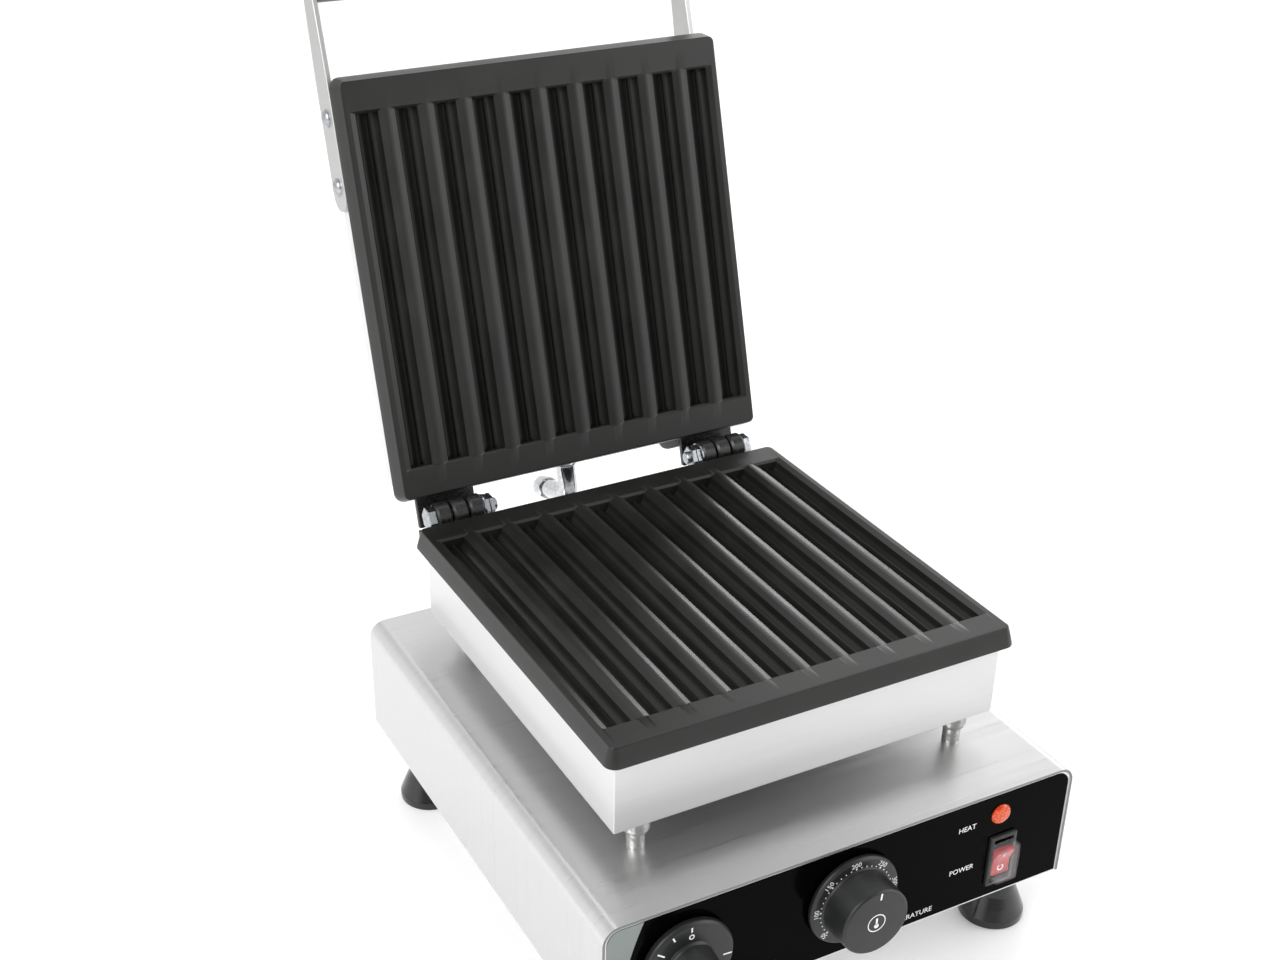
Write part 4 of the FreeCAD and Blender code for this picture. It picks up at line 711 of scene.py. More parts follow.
class BAKER_OT_box(bpy.types.Operator):
    """Folds the control box's cover and lays the printed film on its front"""

    bl_idname = "baker.box"
    bl_label = "Control box"

    def execute(self, context):
        sizes = context.scene.baker_box
        half = (SHELL_HIGH[0] - SHELL_LOW[0]) / 2
        depth, height = SHELL_HIGH[1] - SHELL_LOW[1], SHELL_HIGH[2] - SHELL_LOW[2]
        angle = np.linspace(0, np.pi / 2, 9)

        def arch(inset):
            """The cross-section from the right foot over the bends to the left foot."""
            radius = sizes.bend - inset
            arc = np.stack([np.cos(angle), np.sin(angle)], -1) * radius
            right = arc + [half - sizes.bend, height - sizes.bend]
            left = arc[::-1] * [-1, 1] + [sizes.bend - half, height - sizes.bend]
            return np.concatenate([[[half - inset, 0]], right, left, [[inset - half, 0]]])

        outline = np.concatenate([arch(0.0), arch(sizes.sheet)[::-1]])
        edge = 0.25 * MM
        steps = [(edge, 0.0), (0.0, edge), (0.0, depth - edge), (edge, depth)]
        cover = boxed(prism(outline, steps, "Y", (0, 0, 0)))
        folded = add_piece("box_cover", [cover], "base", "stainless", ["base_shell"], 30)
        # Faces square to Y, the cover's front and back edges, wear the darker steel: painted shade.
        folded.data.materials.append(MATERIALS["cut_edge"])
        for face in folded.data.polygons:
            face.material_index = int(abs(face.normal.y) > 0.6)

        low, high, middle = node_box("control_overlay")
        wide, _, tall = high - low
        corner = sizes.bend - sizes.sheet - 0.6 * MM
        ring = rounded_rectangle(wide / 2, tall / 2 + corner, corner)
        ring[:, 1] = np.maximum(ring[:, 1] - corner, -tall / 2)
        keep = np.concatenate([[True], np.linalg.norm(np.diff(ring, axis=0), axis=1) > 1e-6])
        steps = [(0.15 * MM, low[1]), (0.0, low[1] + 0.15 * MM), (0.0, high[1])]
        film = prism(ring[keep], steps, "Y", (middle[0], 0, middle[2]))
        add_piece("printed_front", [film], "base", "overlay", ["control_overlay"], 40)
        return {"FINISHED"}


class BAKER_OT_feet(bpy.types.Operator):
    """Turns the four conical feet"""

    bl_idname = "baker.feet"
    bl_label = "Feet"

    def execute(self, context):
        for place in CORNERS:
            low, high, middle = node_box(f"foot_{place}")
            radius, height = (high[0] - low[0]) / 2, high[2] - low[2]
            outside = [
                (7.5, 0), (18.8, 0), (19.3, 0.5), (19.3, 4.6), (18.9, 5.6), (16.4, 12), (13.6, 18.7), (11.4, 25),
                (9.6, 33), (9.5, 41.6), (9.1, 42),
            ]
            inside = [(3.2, 42), (3.2, 24), (7.2, 24), (7.5, 23.6), (7.5, 0)]
            profile = np.concatenate([soft_profile(np.array(outside) * MM, 0.8 * MM), np.array(inside) * MM])
            rim, tall = 19.3 * MM, 42 * MM
            scaled = [(r * radius / rim, h * height / tall) for r, h in profile]
            shell = lathe(scaled, (middle[0], middle[1], low[2]), "Z", 96)
            add_piece(f"cone_foot_{place}", [shell], "base", "foot_plastic", [f"foot_{place}"], 50)
        return {"FINISHED"}


class BAKER_OT_pillars(bpy.types.Operator):
    """Turns the four collared pillars between box and pan"""

    bl_idname = "baker.pillars"
    bl_label = "Pillars"

    def execute(self, context):
        sizes = context.scene.baker_box
        top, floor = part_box("lower_pan")[0].z, SHELL_HIGH[2]
        for place in CORNERS:
            low, high, middle = node_box(f"standoff_{place}")
            shaft, collar, stud = sizes.pillar_radius, sizes.collar_radius, 3 * MM
            edge, below = 0.5 * MM, top - sizes.collar_height
            turn = np.linspace(0, np.pi / 2, 7)
            bowl = [(shaft + (collar - shaft) * math.sin(t), below + 3.4 * MM * (1 - math.cos(t))) for t in turn]
            profile = [(0, low[2]), (stud, low[2]), (stud, floor), (shaft, floor)] + bowl
            profile += [(collar, top - edge), (collar - edge, top), (stud, top), (stud, high[2]), (0, high[2])]
            shell = lathe(profile, (middle[0], middle[1], 0), "Z", 48)
            add_piece(f"pillar_{place}", [shell], "base", "chrome", [f"standoff_{place}"], 40, finish="nickel")
        return {"FINISHED"}


class BAKER_OT_pan(bpy.types.Operator):
    """Folds the open tray under the lower plate"""

    bl_idname = "baker.pan"
    bl_label = "Lower tray"

    def execute(self, context):
        sheet = context.scene.baker_box.pan_sheet
        low, high, middle = node_box("lower_pan")
        half_a, half_b = (high[:2] - low[:2]) / 2
        height, edge = high[2] - low[2], 0.5 * MM
        steps = [(half_a * 0.6, 0), (edge, 0), (0.15 * MM, 0.15 * MM), (0, edge), (0, height), (sheet, height)]
        steps += [(sheet, sheet), (half_a * 0.6, sheet)]
        tray = stacked(half_a, half_b, 0.8 * MM, steps, (middle[0], middle[1], low[2]))
        add_piece("lower_tray", [tray], "base", "stainless", ["lower_pan"], 30, finish="sheet_tray")
        return {"FINISHED"}


def groove_depth(across, along, sizes):
    """Depth of the grooved face below its plane, at distances across and along from the plate's middle.

    Across a groove the depth falls along a shallow bevel, then down a steep wall, into two half-round
    valleys with a ridge between them: ridge depth + rest of the depth * sin(pi * share) to the power 0.7,
    share running from 0 to 1 over half of the room between the walls. At the ends a steep bevel and wall rise.
    """
    half, bevel = sizes.width / 2, sizes.bevel_width
    first = -(sizes.count - 1) / 2 * sizes.pitch
    number = np.clip(np.round((across - first) / sizes.pitch), 0, sizes.count - 1)
    middle = np.abs(across - (first + number * sizes.pitch))
    before = sizes.side / 2 - sizes.margin - np.abs(along)

    def wall(distance, slope):
        fall = np.clip(distance / slope, 0, 1) * sizes.bevel_depth
        return fall + sizes.depth * np.clip((distance - slope) / (0.5 * MM), 0, 1)

    share = np.clip(middle / (half - bevel), 0, 1)
    valley = sizes.ridge + (sizes.depth - sizes.ridge) * np.abs(np.sin(np.pi * share)) ** 0.7
    return np.minimum(np.minimum(wall(half - middle, bevel), wall(before, END_BEVEL)), valley)


def plate_shell(sizes):
    """A cast plate with its face at height zero and its back below, centred on the origin.

    The face is a height field on a grid; grid points in the corner squares are drawn onto quarter discs.
    Below it the outline is carried down over a rounded rim and the flared side to the flat back.
    """
    half = sizes.side / 2 - RIM
    inner, bevel = sizes.width / 2, sizes.bevel_width
    room = inner - bevel
    fall = np.array([0, 0.02, 0.5, 0.98, 1.0])
    steps = np.concatenate([fall * bevel, bevel + mm([0.1, 0.2, 0.3]), bevel + room * np.linspace(0.07, 1, 12)])
    local = np.concatenate([steps - inner, (inner - steps)[:-1]])
    centres = (np.arange(sizes.count) - (sizes.count - 1) / 2) * sizes.pitch
    margin = np.concatenate([np.linspace(-half, -half + 5 * MM, 8), np.linspace(half - 5 * MM, half, 8)])
    across = np.unique(np.round(np.concatenate([(centres[:, None] + local).ravel(), margin]), 7))
    end = sizes.side / 2 - sizes.margin
    rise = np.concatenate([fall * END_BEVEL, END_BEVEL + mm([0.1, 0.2, 0.3, 0.4, 0.5, 0.7])])
    along = np.concatenate([end - rise, rise - end, np.linspace(3 * MM - end, end - 3 * MM, 9), margin])
    along = np.unique(np.round(along, 7))
    x, y = np.meshgrid(across, along, indexing="ij")
    z = -groove_depth(x, y, sizes)
    radius = sizes.corner - RIM
    over_x, over_y = np.abs(x) - (half - radius), np.abs(y) - (half - radius)
    corner = (over_x > 0) & (over_y > 0)
    most = np.maximum(over_x, over_y)
    length = np.hypot(over_x, over_y)
    shrink = np.where(corner, most / np.maximum(length, 1e-12), 1.0)
    x = np.where(corner, np.sign(x) * (half - radius + over_x * shrink), x)
    y = np.where(corner, np.sign(y) * (half - radius + over_y * shrink), y)
    rows, columns = x.shape
    top = np.stack([x, y, z], -1).reshape(-1, 3)
    faces = quads(rows, columns, False)[:, ::-1].tolist()
    number = np.arange(rows * columns).reshape(rows, columns)
    loop = np.concatenate([number[:, 0], number[-1, 1:], number[-2::-1, -1], number[0, -2:0:-1]])
    edge = top[loop, :2]
    nearest = np.clip(edge, -(half - radius), half - radius)
    outward = edge - nearest
    outward /= np.linalg.norm(outward, axis=1)[:, None]
    angle = np.linspace(0, np.pi / 2, 5)[1:]
    skirt = [(RIM * math.sin(t), -RIM * (1 - math.cos(t))) for t in angle]
    skirt += [(RIM + sizes.flare * s, -sizes.height * s) for s in (0.35, 0.7, 0.95)]
    skirt += [(RIM + sizes.flare - 0.1 * MM, -sizes.height), (-8 * MM, -sizes.height)]
    rings = [np.column_stack([edge + outward * out, np.full(len(edge), down)]) for out, down in skirt]
    points = np.concatenate([top] + rings)
    count = len(loop)
    previous = loop
    for n in range(len(skirt)):
        ring = rows * columns + n * count + np.arange(count)
        faces += np.stack([previous, np.roll(previous, -1), np.roll(ring, -1), ring], -1).tolist()
        previous = ring
    faces.append(previous.tolist())
    return points, faces


def boss(root, end, centre):
    """A round boss from a plate's back to its chamfered end."""
    chamfer = math.copysign(MM, root - end)
    return lathe([(0, root), (8 * MM, root), (8 * MM, end + chamfer), (7 * MM, end), (0, end)], centre)


class BAKER_OT_plates(bpy.types.Operator):
    """Casts the two grooved plates with their bosses"""

    bl_idname = "baker.plates"
    bl_label = "Baking plates"

    def execute(self, context):
        sizes, lid = context.scene.baker_plate, context.scene.baker_lid
        points, faces = plate_shell(sizes)
        low, high, middle = node_box("lower_plate")
        lower = points + [0, middle[1], high[2]]
        bosses = []
        for place in CORNERS:
            pillar = node_box(f"standoff_{place}")[2]
            bosses.append(boss(high[2] - sizes.height, low[2], (pillar[0], pillar[1], 0)))
        add_piece("lower_grooved_plate", [(lower, faces)] + bosses, "base", "cast_plate", ["lower_plate"])
        middle = -lid.back - sizes.side / 2
        flipped = points * [1, 1, -1] + [0, middle, lid.face]
        back, inside = lid.face + sizes.height, lid.face + sizes.height + lid.cover - 1.2 * MM
        bosses = []
        for x in (-103 * MM, 103 * MM):
            for y in (-lid.back - 23 * MM, -lid.back - sizes.side + 23 * MM):
                bosses.append(opened(boss(back, inside, (x, y, 0))))
        upper = opened((flipped, faces))
        add_piece("upper_grooved_plate", [upper] + bosses, "lid", "cast_plate", ["upper_plate"])
        return {"FINISHED"}


# --- lid ---

class BAKER_OT_lid_cover(bpy.types.Operator):
    """Presses the lid's cover with its rounded outer edges"""

    bl_idname = "baker.lid_cover"
    bl_label = "Lid cover"

    def execute(self, context):
        lid, plate = context.scene.baker_lid, context.scene.baker_plate
        sheet = context.scene.baker_box.pan_sheet
        half = plate.side / 2 - lid.inset
        bottom = lid.face + plate.height
        top = bottom + lid.cover
        angle = np.linspace(0, np.pi / 2, 8)
        bend = [(lid.cover_bend * (1 - math.cos(t)), top - lid.cover_bend * (1 - math.sin(t))) for t in angle]
        inner = lid.cover_bend - sheet
        inside = [(sheet + inner * (1 - math.cos(t)), top - sheet - inner * (1 - math.sin(t))) for t in angle]
        flat = [(half * 0.6, top), (half * 0.6, top - sheet)]
        steps = [(0, bottom)] + bend + flat + inside[::-1] + [(sheet, bottom)]
        middle = (0, -lid.back - plate.side / 2, 0)
        rings = stack_rings(half, half, steps, lambda inset: 1.2 * MM + 0.6 * inset)
        shell = cup_of(rings + middle, len(bend) + 2)
        add_piece("lid_tray", [opened(shell)], "lid", "stainless", ["lid_cover"], 30, finish="sheet_tray")
        return {"FINISHED"}


class BAKER_OT_handle(bpy.types.Operator):
    """Cuts the handle's arms, turns its grip and sets its domed screws"""

    bl_idname = "baker.handle"
    bl_label = "Handle"

    def execute(self, context):
        lid, plate = context.scene.baker_lid, context.scene.baker_plate
        front = -lid.back - plate.side
        inside = plate.side / 2 - lid.inset
        outside = inside + 3 * MM
        tip = front - lid.reach

        def cap(centre, radius, start, end):
            angle = np.linspace(start, end, 13)
            return np.stack([centre + radius * np.cos(angle), lid.arm_rise + radius * np.sin(angle)], -1)

        # The arm's outline: a rounded rear end, straight sides, a taper and a round tip about the grip.
        wide, narrow = lid.arm_width / 2, lid.arm_tip / 2
        rear = front + 75 * MM
        outline = np.concatenate(
            [
                cap(rear - wide, wide, -np.pi / 2, np.pi / 2),
                [[front - 2 * MM, lid.arm_rise + wide]],
                cap(tip, narrow, np.pi / 2, 3 * np.pi / 2),
                [[front - 2 * MM, lid.arm_rise - wide]],
            ]
        )
        for word, side in SIDES:
            near, far = sorted((side * inside, side * outside))
            edge = 0.4 * MM
            steps = [(edge, near), (0, near + edge), (0, far - edge), (edge, far)]
            arm = opened(prism(outline, steps, "X", (0, 0, 0)))
            name = f"arm_strip_{word}"
            add_piece(name, [arm], "lid", "handle_steel", [f"handle_arm_{word}"], 30)

        radius = lid.grip
        ends = np.linspace(0, np.pi / 2, 6)
        left = [(radius - 2 * MM + 2 * MM * math.sin(t), -inside + 2 * MM * (1 - math.cos(t))) for t in ends]
        profile = [(0, -inside)] + left + [(r, -w) for r, w in left[::-1]] + [(0, inside)]
        grip = opened(lathe(profile, (0, tip, lid.arm_rise), "X", 96))
        add_piece("grip_bar", [grip], "lid", "grip_black", ["handle_grip"], 40)

        def dome(side, y):
            """A domed head: its profile is a circular arc from the rim to the pole, and a short shank."""
            rise = np.linspace(0, np.pi / 2, 7)
            arc = [(5.5 * MM * math.cos(t), side * (outside + 3 * MM * math.sin(t))) for t in rise]
            inner = side * (inside - 8 * MM)
            shank = [(0, inner), (2.5 * MM, inner), (2.5 * MM, side * outside)]
            return lathe(shank + arc, (0, y, lid.arm_rise), "X", 40)

        rows = (front + 19.5 * MM, front + 60 * MM)
        screws = [opened(shell) for shell in both_sides(lambda side: [dome(side, y) for y in rows])]
        add_piece("arm_screws", screws, "lid", "zinc", ["handle_screws"], 40)
        ends = [opened(shell) for shell in both_sides(lambda side: [dome(side, tip)])]
        add_piece("grip_end_screws", ends, "lid", "zinc", ["grip_screws"], 40)
        return {"FINISHED"}


class BAKER_OT_hinges(bpy.types.Operator):
    """Builds the hinge castings with their knuckles, bolts, washers and nuts"""

    bl_idname = "baker.hinges"
    bl_label = "Hinges"

    def execute(self, context):
        lid = context.scene.baker_lid
        wall, radius, bolt, shoulder = -lid.back - lid.inset, lid.knuckle, 4 * MM, 1.3 * MM
        # Spans along the bolt, from the baker's middle outwards: three knuckles and the castings' width.
        inner, middle, outer, wide = mm([(78.3, 87.9), (89.1, 98.9), (100.1, 109.7), (75, 114)])
        leaf, lift, web = mm([4, 16, 6.2])
        flange = lid.cover - 12 * MM

        def knuckle(side, span, bore):
            """A barrel about the bolt with rounded rims and a bore."""
            low, high = sorted(side * span)
            profile = [
                (bore, low), (radius - shoulder, low), (radius, low + shoulder), (radius, high - shoulder),
                (radius - shoulder, high), (bore, high), (bore, low),
            ]
            return lathe(profile, (0, 0, 0), "X", 48)

        def block(side, span, y, z):
            """A block of the casting with rounded edges."""
            low, high = sorted(side * span)
            return brick((low, y[0], z[0]), (high, y[1], z[1]), 0.9 * MM, "X")

        for word, side in SIDES:
            shells = [
                block(side, wide, (wall, wall + leaf), (-lift - 30 * MM, -lift)),
                block(side, wide, (wall, 17 * MM), (-lift - leaf, -lift)),
            ]
            shells += [block(side, span, (-web, web), (-lift - 0.5 * MM, -4.5 * MM)) for span in (inner, outer)]
            shells += [knuckle(side, span, bolt) for span in (inner, outer)]
            shells = [(points + HINGE, faces) for points, faces in shells]
            add_piece(f"base_hinge_casting_{word}", shells, "base", "hinge_iron", [f"base_hinge_{word}"], 40)
            shells = [
                block(side, wide, (wall, wall + leaf), (lift, lift + leaf + flange)),
                block(side, wide, (wall, 9 * MM), (lift, lift + leaf)),
                block(side, middle, (-web, web), (4.5 * MM, lift + 0.5 * MM)),
                knuckle(side, middle, bolt + 0.05 * MM),
            ]
            shells = [opened(shell) for shell in shells]
            add_piece(f"lid_hinge_casting_{word}", shells, "lid", "hinge_iron", [f"lid_hinge_{word}"], 40)
            low, high = sorted(side * mm([68.2, 109.7]))
            end = 0.6 * MM
            profile = [(0, low), (bolt - end, low), (bolt, low + end)]
            profile += [(bolt, high - end), (bolt - end, high), (0, high)]
            head = hexagon(13 * MM, *sorted(side * mm([109.7, 115])), 0.8 * MM, HINGE)
            shells = [lathe(profile, HINGE, "X", 32), head]
            add_piece(f"hex_bolt_{word}", shells, "base", "zinc", [f"hinge_bolt_{word}"], 30)

        def two_nuts(side):
            spans = (side * mm([77.3 - 3.2 * n, 74.1 - 3.2 * n]) for n in range(2))
            return [hexagon(13 * MM, *sorted(span), 0.7 * MM, HINGE) for span in spans]

        add_piece("jam_nuts", both_sides(two_nuts), "base", "zinc", ["hinge_nuts"], 30)

        def washer(side):
            low, high = sorted(side * mm([77.3, 78.3]))
            rim = 8 * MM
            return [lathe([(bolt, low), (rim, low), (rim, high), (bolt, high), (bolt, low)], HINGE, "X", 40)]

        add_piece("bolt_washers", both_sides(washer), "base", "zinc", ["hinge_washers"], 30)
        return {"FINISHED"}


class BAKER_OT_lead_outlet(bpy.types.Operator):
    """Bends the lid's chrome lead outlet and sets its collar and compression nut"""

    bl_idname = "baker.lead_outlet"
    bl_label = "Lead outlet"

    def execute(self, context):
        lid = context.scene.baker_lid
        wall = (-lid.back - lid.inset) / MM
        x, out, rise, bend = -4, 14, 31, 7.5
        # A straight leg from the wall, a quarter circle of the bend's radius, and a straight leg up.
        turn = np.linspace(0, np.pi / 2, 12)
        along, up = out - bend + bend * np.sin(turn), rise + bend * (1 - np.cos(turn))
        corner = np.stack([np.full(12, x), along, up], -1)
        start = [[x, wall - 3.5, rise], [x, out - bend - 0.5, rise]]
        end = [[x, out, rise + bend + 0.5], [x, out, 62]]
        leg = tube(np.concatenate([start, corner, end]) * MM, 6.2 * MM, 40)
        middle = mm([x, 0, rise])
        collar = hexagon(15 * MM, wall * MM, (wall + 8) * MM, 0.8 * MM, middle, "Y")
        ring = [(0, wall + 8), (7.2, wall + 8), (7.6, wall + 9), (7.2, wall + 10.5), (0, wall + 10.5)]
        shells = [opened(shell) for shell in (leg, collar, lathe(mm(ring), middle, "Y", 48))]
        add_piece("elbow_fitting", shells, "lid", "chrome", ["lead_elbow"], 40)
        dome = [
            (0, 62), (6.9, 62), (7.5, 62.6), (7.5, 70.5), (7.1, 73.4), (6.0, 75.6), (4.4, 76.9), (3.5, 77), (3.5, 73),
            (0, 73),
        ]
        nut = lathe(mm(dome), mm([x, out, 0]), "Z", 48)
        add_piece("compression_nut", [opened(nut)], "lid", "chrome", ["lead_elbow_nut"], 40)
        return {"FINISHED"}


# --- controls ---

def dial_place(x, z, radius, angle, y):
    """Carries flat print, in millimetres, to a knob's face, turned so that its foot points at the knob's axis."""
    cos, sin = math.cos(angle), math.sin(angle)

    def place(points, thickness):
        across, up = points[:, 0], points[:, 1] + radius
        turned = [x + across * cos + up * sin, np.full(len(points), y - thickness), z - across * sin + up * cos]
        return np.stack(turned, -1) * MM + BOX_ORIGIN

    return place


def front_place(x, z, y):
    """Carries flat print upright to the front: across is X, up is Z, and it is raised towards -Y."""
    return dial_place(x, z, 0, 0, y)


def bar_mark(width, height):
    """A flat upright mark."""
    return np.array([[-1, -1], [1, -1], [1, 1], [-1, 1]]) * [width / 2, height / 2], [[0, 1, 2, 3]]


def dot_mark(radius):
    """A flat round mark."""
    return circle(14) * radius, [list(range(14))]


def ring_mark(radius, width, count=48):
    """A flat ring between two circles."""
    angle = np.linspace(0, 2 * np.pi, count)
    unit = np.stack([np.cos(angle), np.sin(angle)], -1)
    points = np.concatenate([unit * (radius + width / 2), unit * (radius - width / 2)])
    return points, [[n, n + 1, count + n + 1, count + n][::-1] for n in range(count - 1)]


class BAKER_OT_thermostat(bpy.types.Operator):
    """Turns the thermostat knob and prints its scale, index mark and thermometer sign"""

    bl_idname = "baker.thermostat"
    bl_label = "Thermostat knob"

    def execute(self, context):
        c = context.scene.baker_controls
        x, z, rim, grip, reach = (v / MM for v in (c.dial_x, c.height, c.dial_radius, c.dial_grip, -c.dial_reach))
        skirt = -5
        corners = [
            (0, -1), (rim - 0.4, -1), (rim, -1.4), (rim, -3.4), (rim - 1.3, skirt), (grip + 0.7, skirt),
            (grip, skirt - 0.9), (grip - 0.6, reach + 1.2), (grip - 1.6, reach), (0, reach),
        ]
        knob = boxed(lathe(soft_profile(mm(corners), 0.5 * MM, 3), mm([x, 0, z]), "Y", 128))
        add_piece("dial_knob", [knob], "thermostat_dial", "knob_black", ["thermostat_knob"], 40)
        marks = []
        # Fifty degrees of heat take 42 degrees of turn; the scale is set so that 205 stands at the top.
        for heat in range(50, 301, 10):
            angle = math.radians((heat - 205) * 0.84)
            marks.append(printed(dot_mark(0.42 if heat % 50 else 0.62), dial_place(x, z, 22.8, angle, skirt)))
            if heat % 50 == 0:
                marks.append(printed(letters(str(heat), 3.0), dial_place(x, z, 25.3, angle, skirt)))
        marks.append(printed(bar_mark(1.0, 4.2), dial_place(x, z, grip - 4.0, math.radians(5), reach)))
        # The sign on the face: a thermometer, which is a bulb and a stem, in a ring.
        for flat, up in ((ring_mark(5.4, 0.6), 0), (dot_mark(1.5), -2.0), (bar_mark(1.2, 4.6), 0.9)):
            marks.append(printed(flat, front_place(x, z + up, reach)))
        add_piece("dial_print", marks, "thermostat_dial", "knob_black", (), 30, finish="print")
        return {"FINISHED"}


class BAKER_OT_timer(bpy.types.Operator):
    """Turns the timer's disc and its grip and prints its scale"""

    bl_idname = "baker.timer"
    bl_label = "Timer knob"

    def execute(self, context):
        c = context.scene.baker_controls
        x, z, rim, grip, tip = (v / MM for v in (c.timer_x, c.height, c.timer_radius, c.timer_grip, -c.timer_reach))
        face, flat = -6, -6.1
        disc = [(0, -1), (rim - 0.4, -1), (rim, -1.4), (rim, -4.4), (rim - 1.6, face), (rim - 6, flat), (0, flat)]
        handle = [
            (0, face + 1), (grip + 1.4, face + 1), (grip + 1.4, flat), (grip, face - 1.2), (grip - 0.7, tip + 1.2),
            (grip - 1.8, tip), (0, tip),
        ]
        turned = [
            boxed(lathe(soft_profile(mm(corners), 0.6 * MM, 3), mm([x, 0, z]), "Y", around))
            for corners, around in ((disc, 128), (handle, 96))
        ]
        add_piece("timer_dial_knob", turned, "timer_dial", "knob_black", ["timer_knob"], 40)
        # Ten steps of 26.6 degrees turn anticlockwise from the mark at the top, with every second one long.
        marks = [printed(ring_mark(1.3, 0.7), front_place(x, z + 18.6, flat))]
        for step in range(11):
            tall = 5.2 if step % 2 == 0 and step else 3.0
            place = dial_place(x, z, 24.7 - tall / 2, math.radians(-26.6 * step), flat)
            marks.append(printed(bar_mark(0.9, tall), place))
        add_piece("timer_print", marks, "timer_dial", "knob_black", (), 30, finish="print")
        return {"FINISHED"}


class BAKER_OT_lamp(bpy.types.Operator):
    """Domes the heat lamp's orange lens"""

    bl_idname = "baker.lamp"
    bl_label = "Lamp"

    def execute(self, context):
        c = context.scene.baker_controls
        rise = np.linspace(0, np.pi / 2, 10)[1:]
        dome = [(6.0 * math.cos(t), -0.7 - 1.8 * math.sin(t)) for t in rise]
        profile = [(0, 0.3), (6.3, 0.3), (6.3, -0.4), (6.0, -0.7)] + dome
        lens = boxed(lathe(mm(profile), (c.lamp_x, 0, c.lamp_z), "Y", 64))
        add_piece("lamp_dome", [lens], "base", "lens_orange", ["lamp_lens"], 40)
        return {"FINISHED"}


class BAKER_OT_switch(bpy.types.Operator):
    """Moulds the power switch: its frame, its red tilting button and the clear splash cover"""

    bl_idname = "baker.switch"
    bl_label = "Power switch"

    def execute(self, context):
        c = context.scene.baker_controls
        x, z = c.rocker_x / MM, c.rocker_z / MM
        centre = mm([x, 0, z])
        front, back, tip = -1.7, 0.3, -8.1
        outer = [
            (1.1, 22), (1.1, back), (0, back), (0, front + 0.9), (0.3, front + 0.25), (0.9, front), (2.5, front),
            (2.6, front + 0.2), (2.6, 12),
        ]
        housing = boxed(stacked(*mm([9.2, 17.5, 1.2]), mm(outer), centre, "Y"))
        add_piece("switch_frame", [housing], "base", "rocker_black", ["rocker_housing"], 30)

        # The button's section: a shallow V in front, between two arcs about its pin, tilted as it stands.
        pin, tilt = 3, math.radians(11)
        cos, sin = math.cos(tilt), math.sin(tilt)
        depth, up = mm([
            (-6.6, 9.3), (-5.6, 5.5), (-4.9, 1.2), (-4.8, 0), (-4.9, -1.2), (-5.6, -5.5), (-6.6, -9.3), (-5.4, -9.5),
            (4, -5), (4, 5), (-5.4, 9.5),
        ]).T
        section = np.stack([depth * cos - up * sin, depth * sin + up * cos], -1)
        steps = mm([(0.4, -6.3), (0, -5.9), (0, 5.9), (0.4, 6.3)])
        button = boxed(prism(section, steps, "X", mm([x, pin, z])))
        add_piece("switch_button", [button], "rocker", "rocker_red", ["rocker_button"], 35)

        def on_button(height):
            """Print on the button's front, which slopes with its section."""

            def place(points, thickness):
                up = points[:, 1] + height
                depth = -4.72 - np.maximum(np.abs(up) - 1.2, 0) * 0.216 - thickness
                return mm([points[:, 0] + x, depth * cos - up * sin + pin, depth * sin + up * cos + z]).T + BOX_ORIGIN

            return place

        marks = [printed(bar_mark(0.9, 4), on_button(5.0)), printed(ring_mark(1.8, 0.8), on_button(-5.0))]
        add_piece("switch_print", marks, "rocker", "rocker_red", (), 30, finish="print")

        walls = [
            (0.8, front), (0, front), (0, tip + 2.4), (0.3, tip + 0.9), (1.3, tip + 0.1), (4, tip), (4, tip + 0.8),
            (1.6, tip + 0.9), (1.0, tip + 1.6), (0.8, tip + 2.4),
        ]
        rings = stack_rings(7.9 * MM, 12.7 * MM, mm(walls), lambda inset: 2.2 * MM)
        cover = boxed(cup_of(turn_round(rings, "Y") + centre, 6))
        add_piece("splash_cover", [cover], "base", "clear_cover", ["rocker_cover"], 40)
        return {"FINISHED"}


class BAKER_OT_labels(bpy.types.Operator):
    """Prints the plain function words on the front film"""

    bl_idname = "baker.labels"
    bl_label = "Front print"

    def execute(self, context):
        tall = 3.4
        words = (("HEAT", 77.5, 56.5), ("POWER", 77, 27.5), ("TEMPERATURE", 43, 7))
        marks = [printed(letters(word, tall), front_place(x, z, FILM_FACE)) for word, x, z in words]
        add_piece("front_print", marks, "base", "overlay", (), 30, finish="print")
        return {"FINISHED"}


# --- stage ---

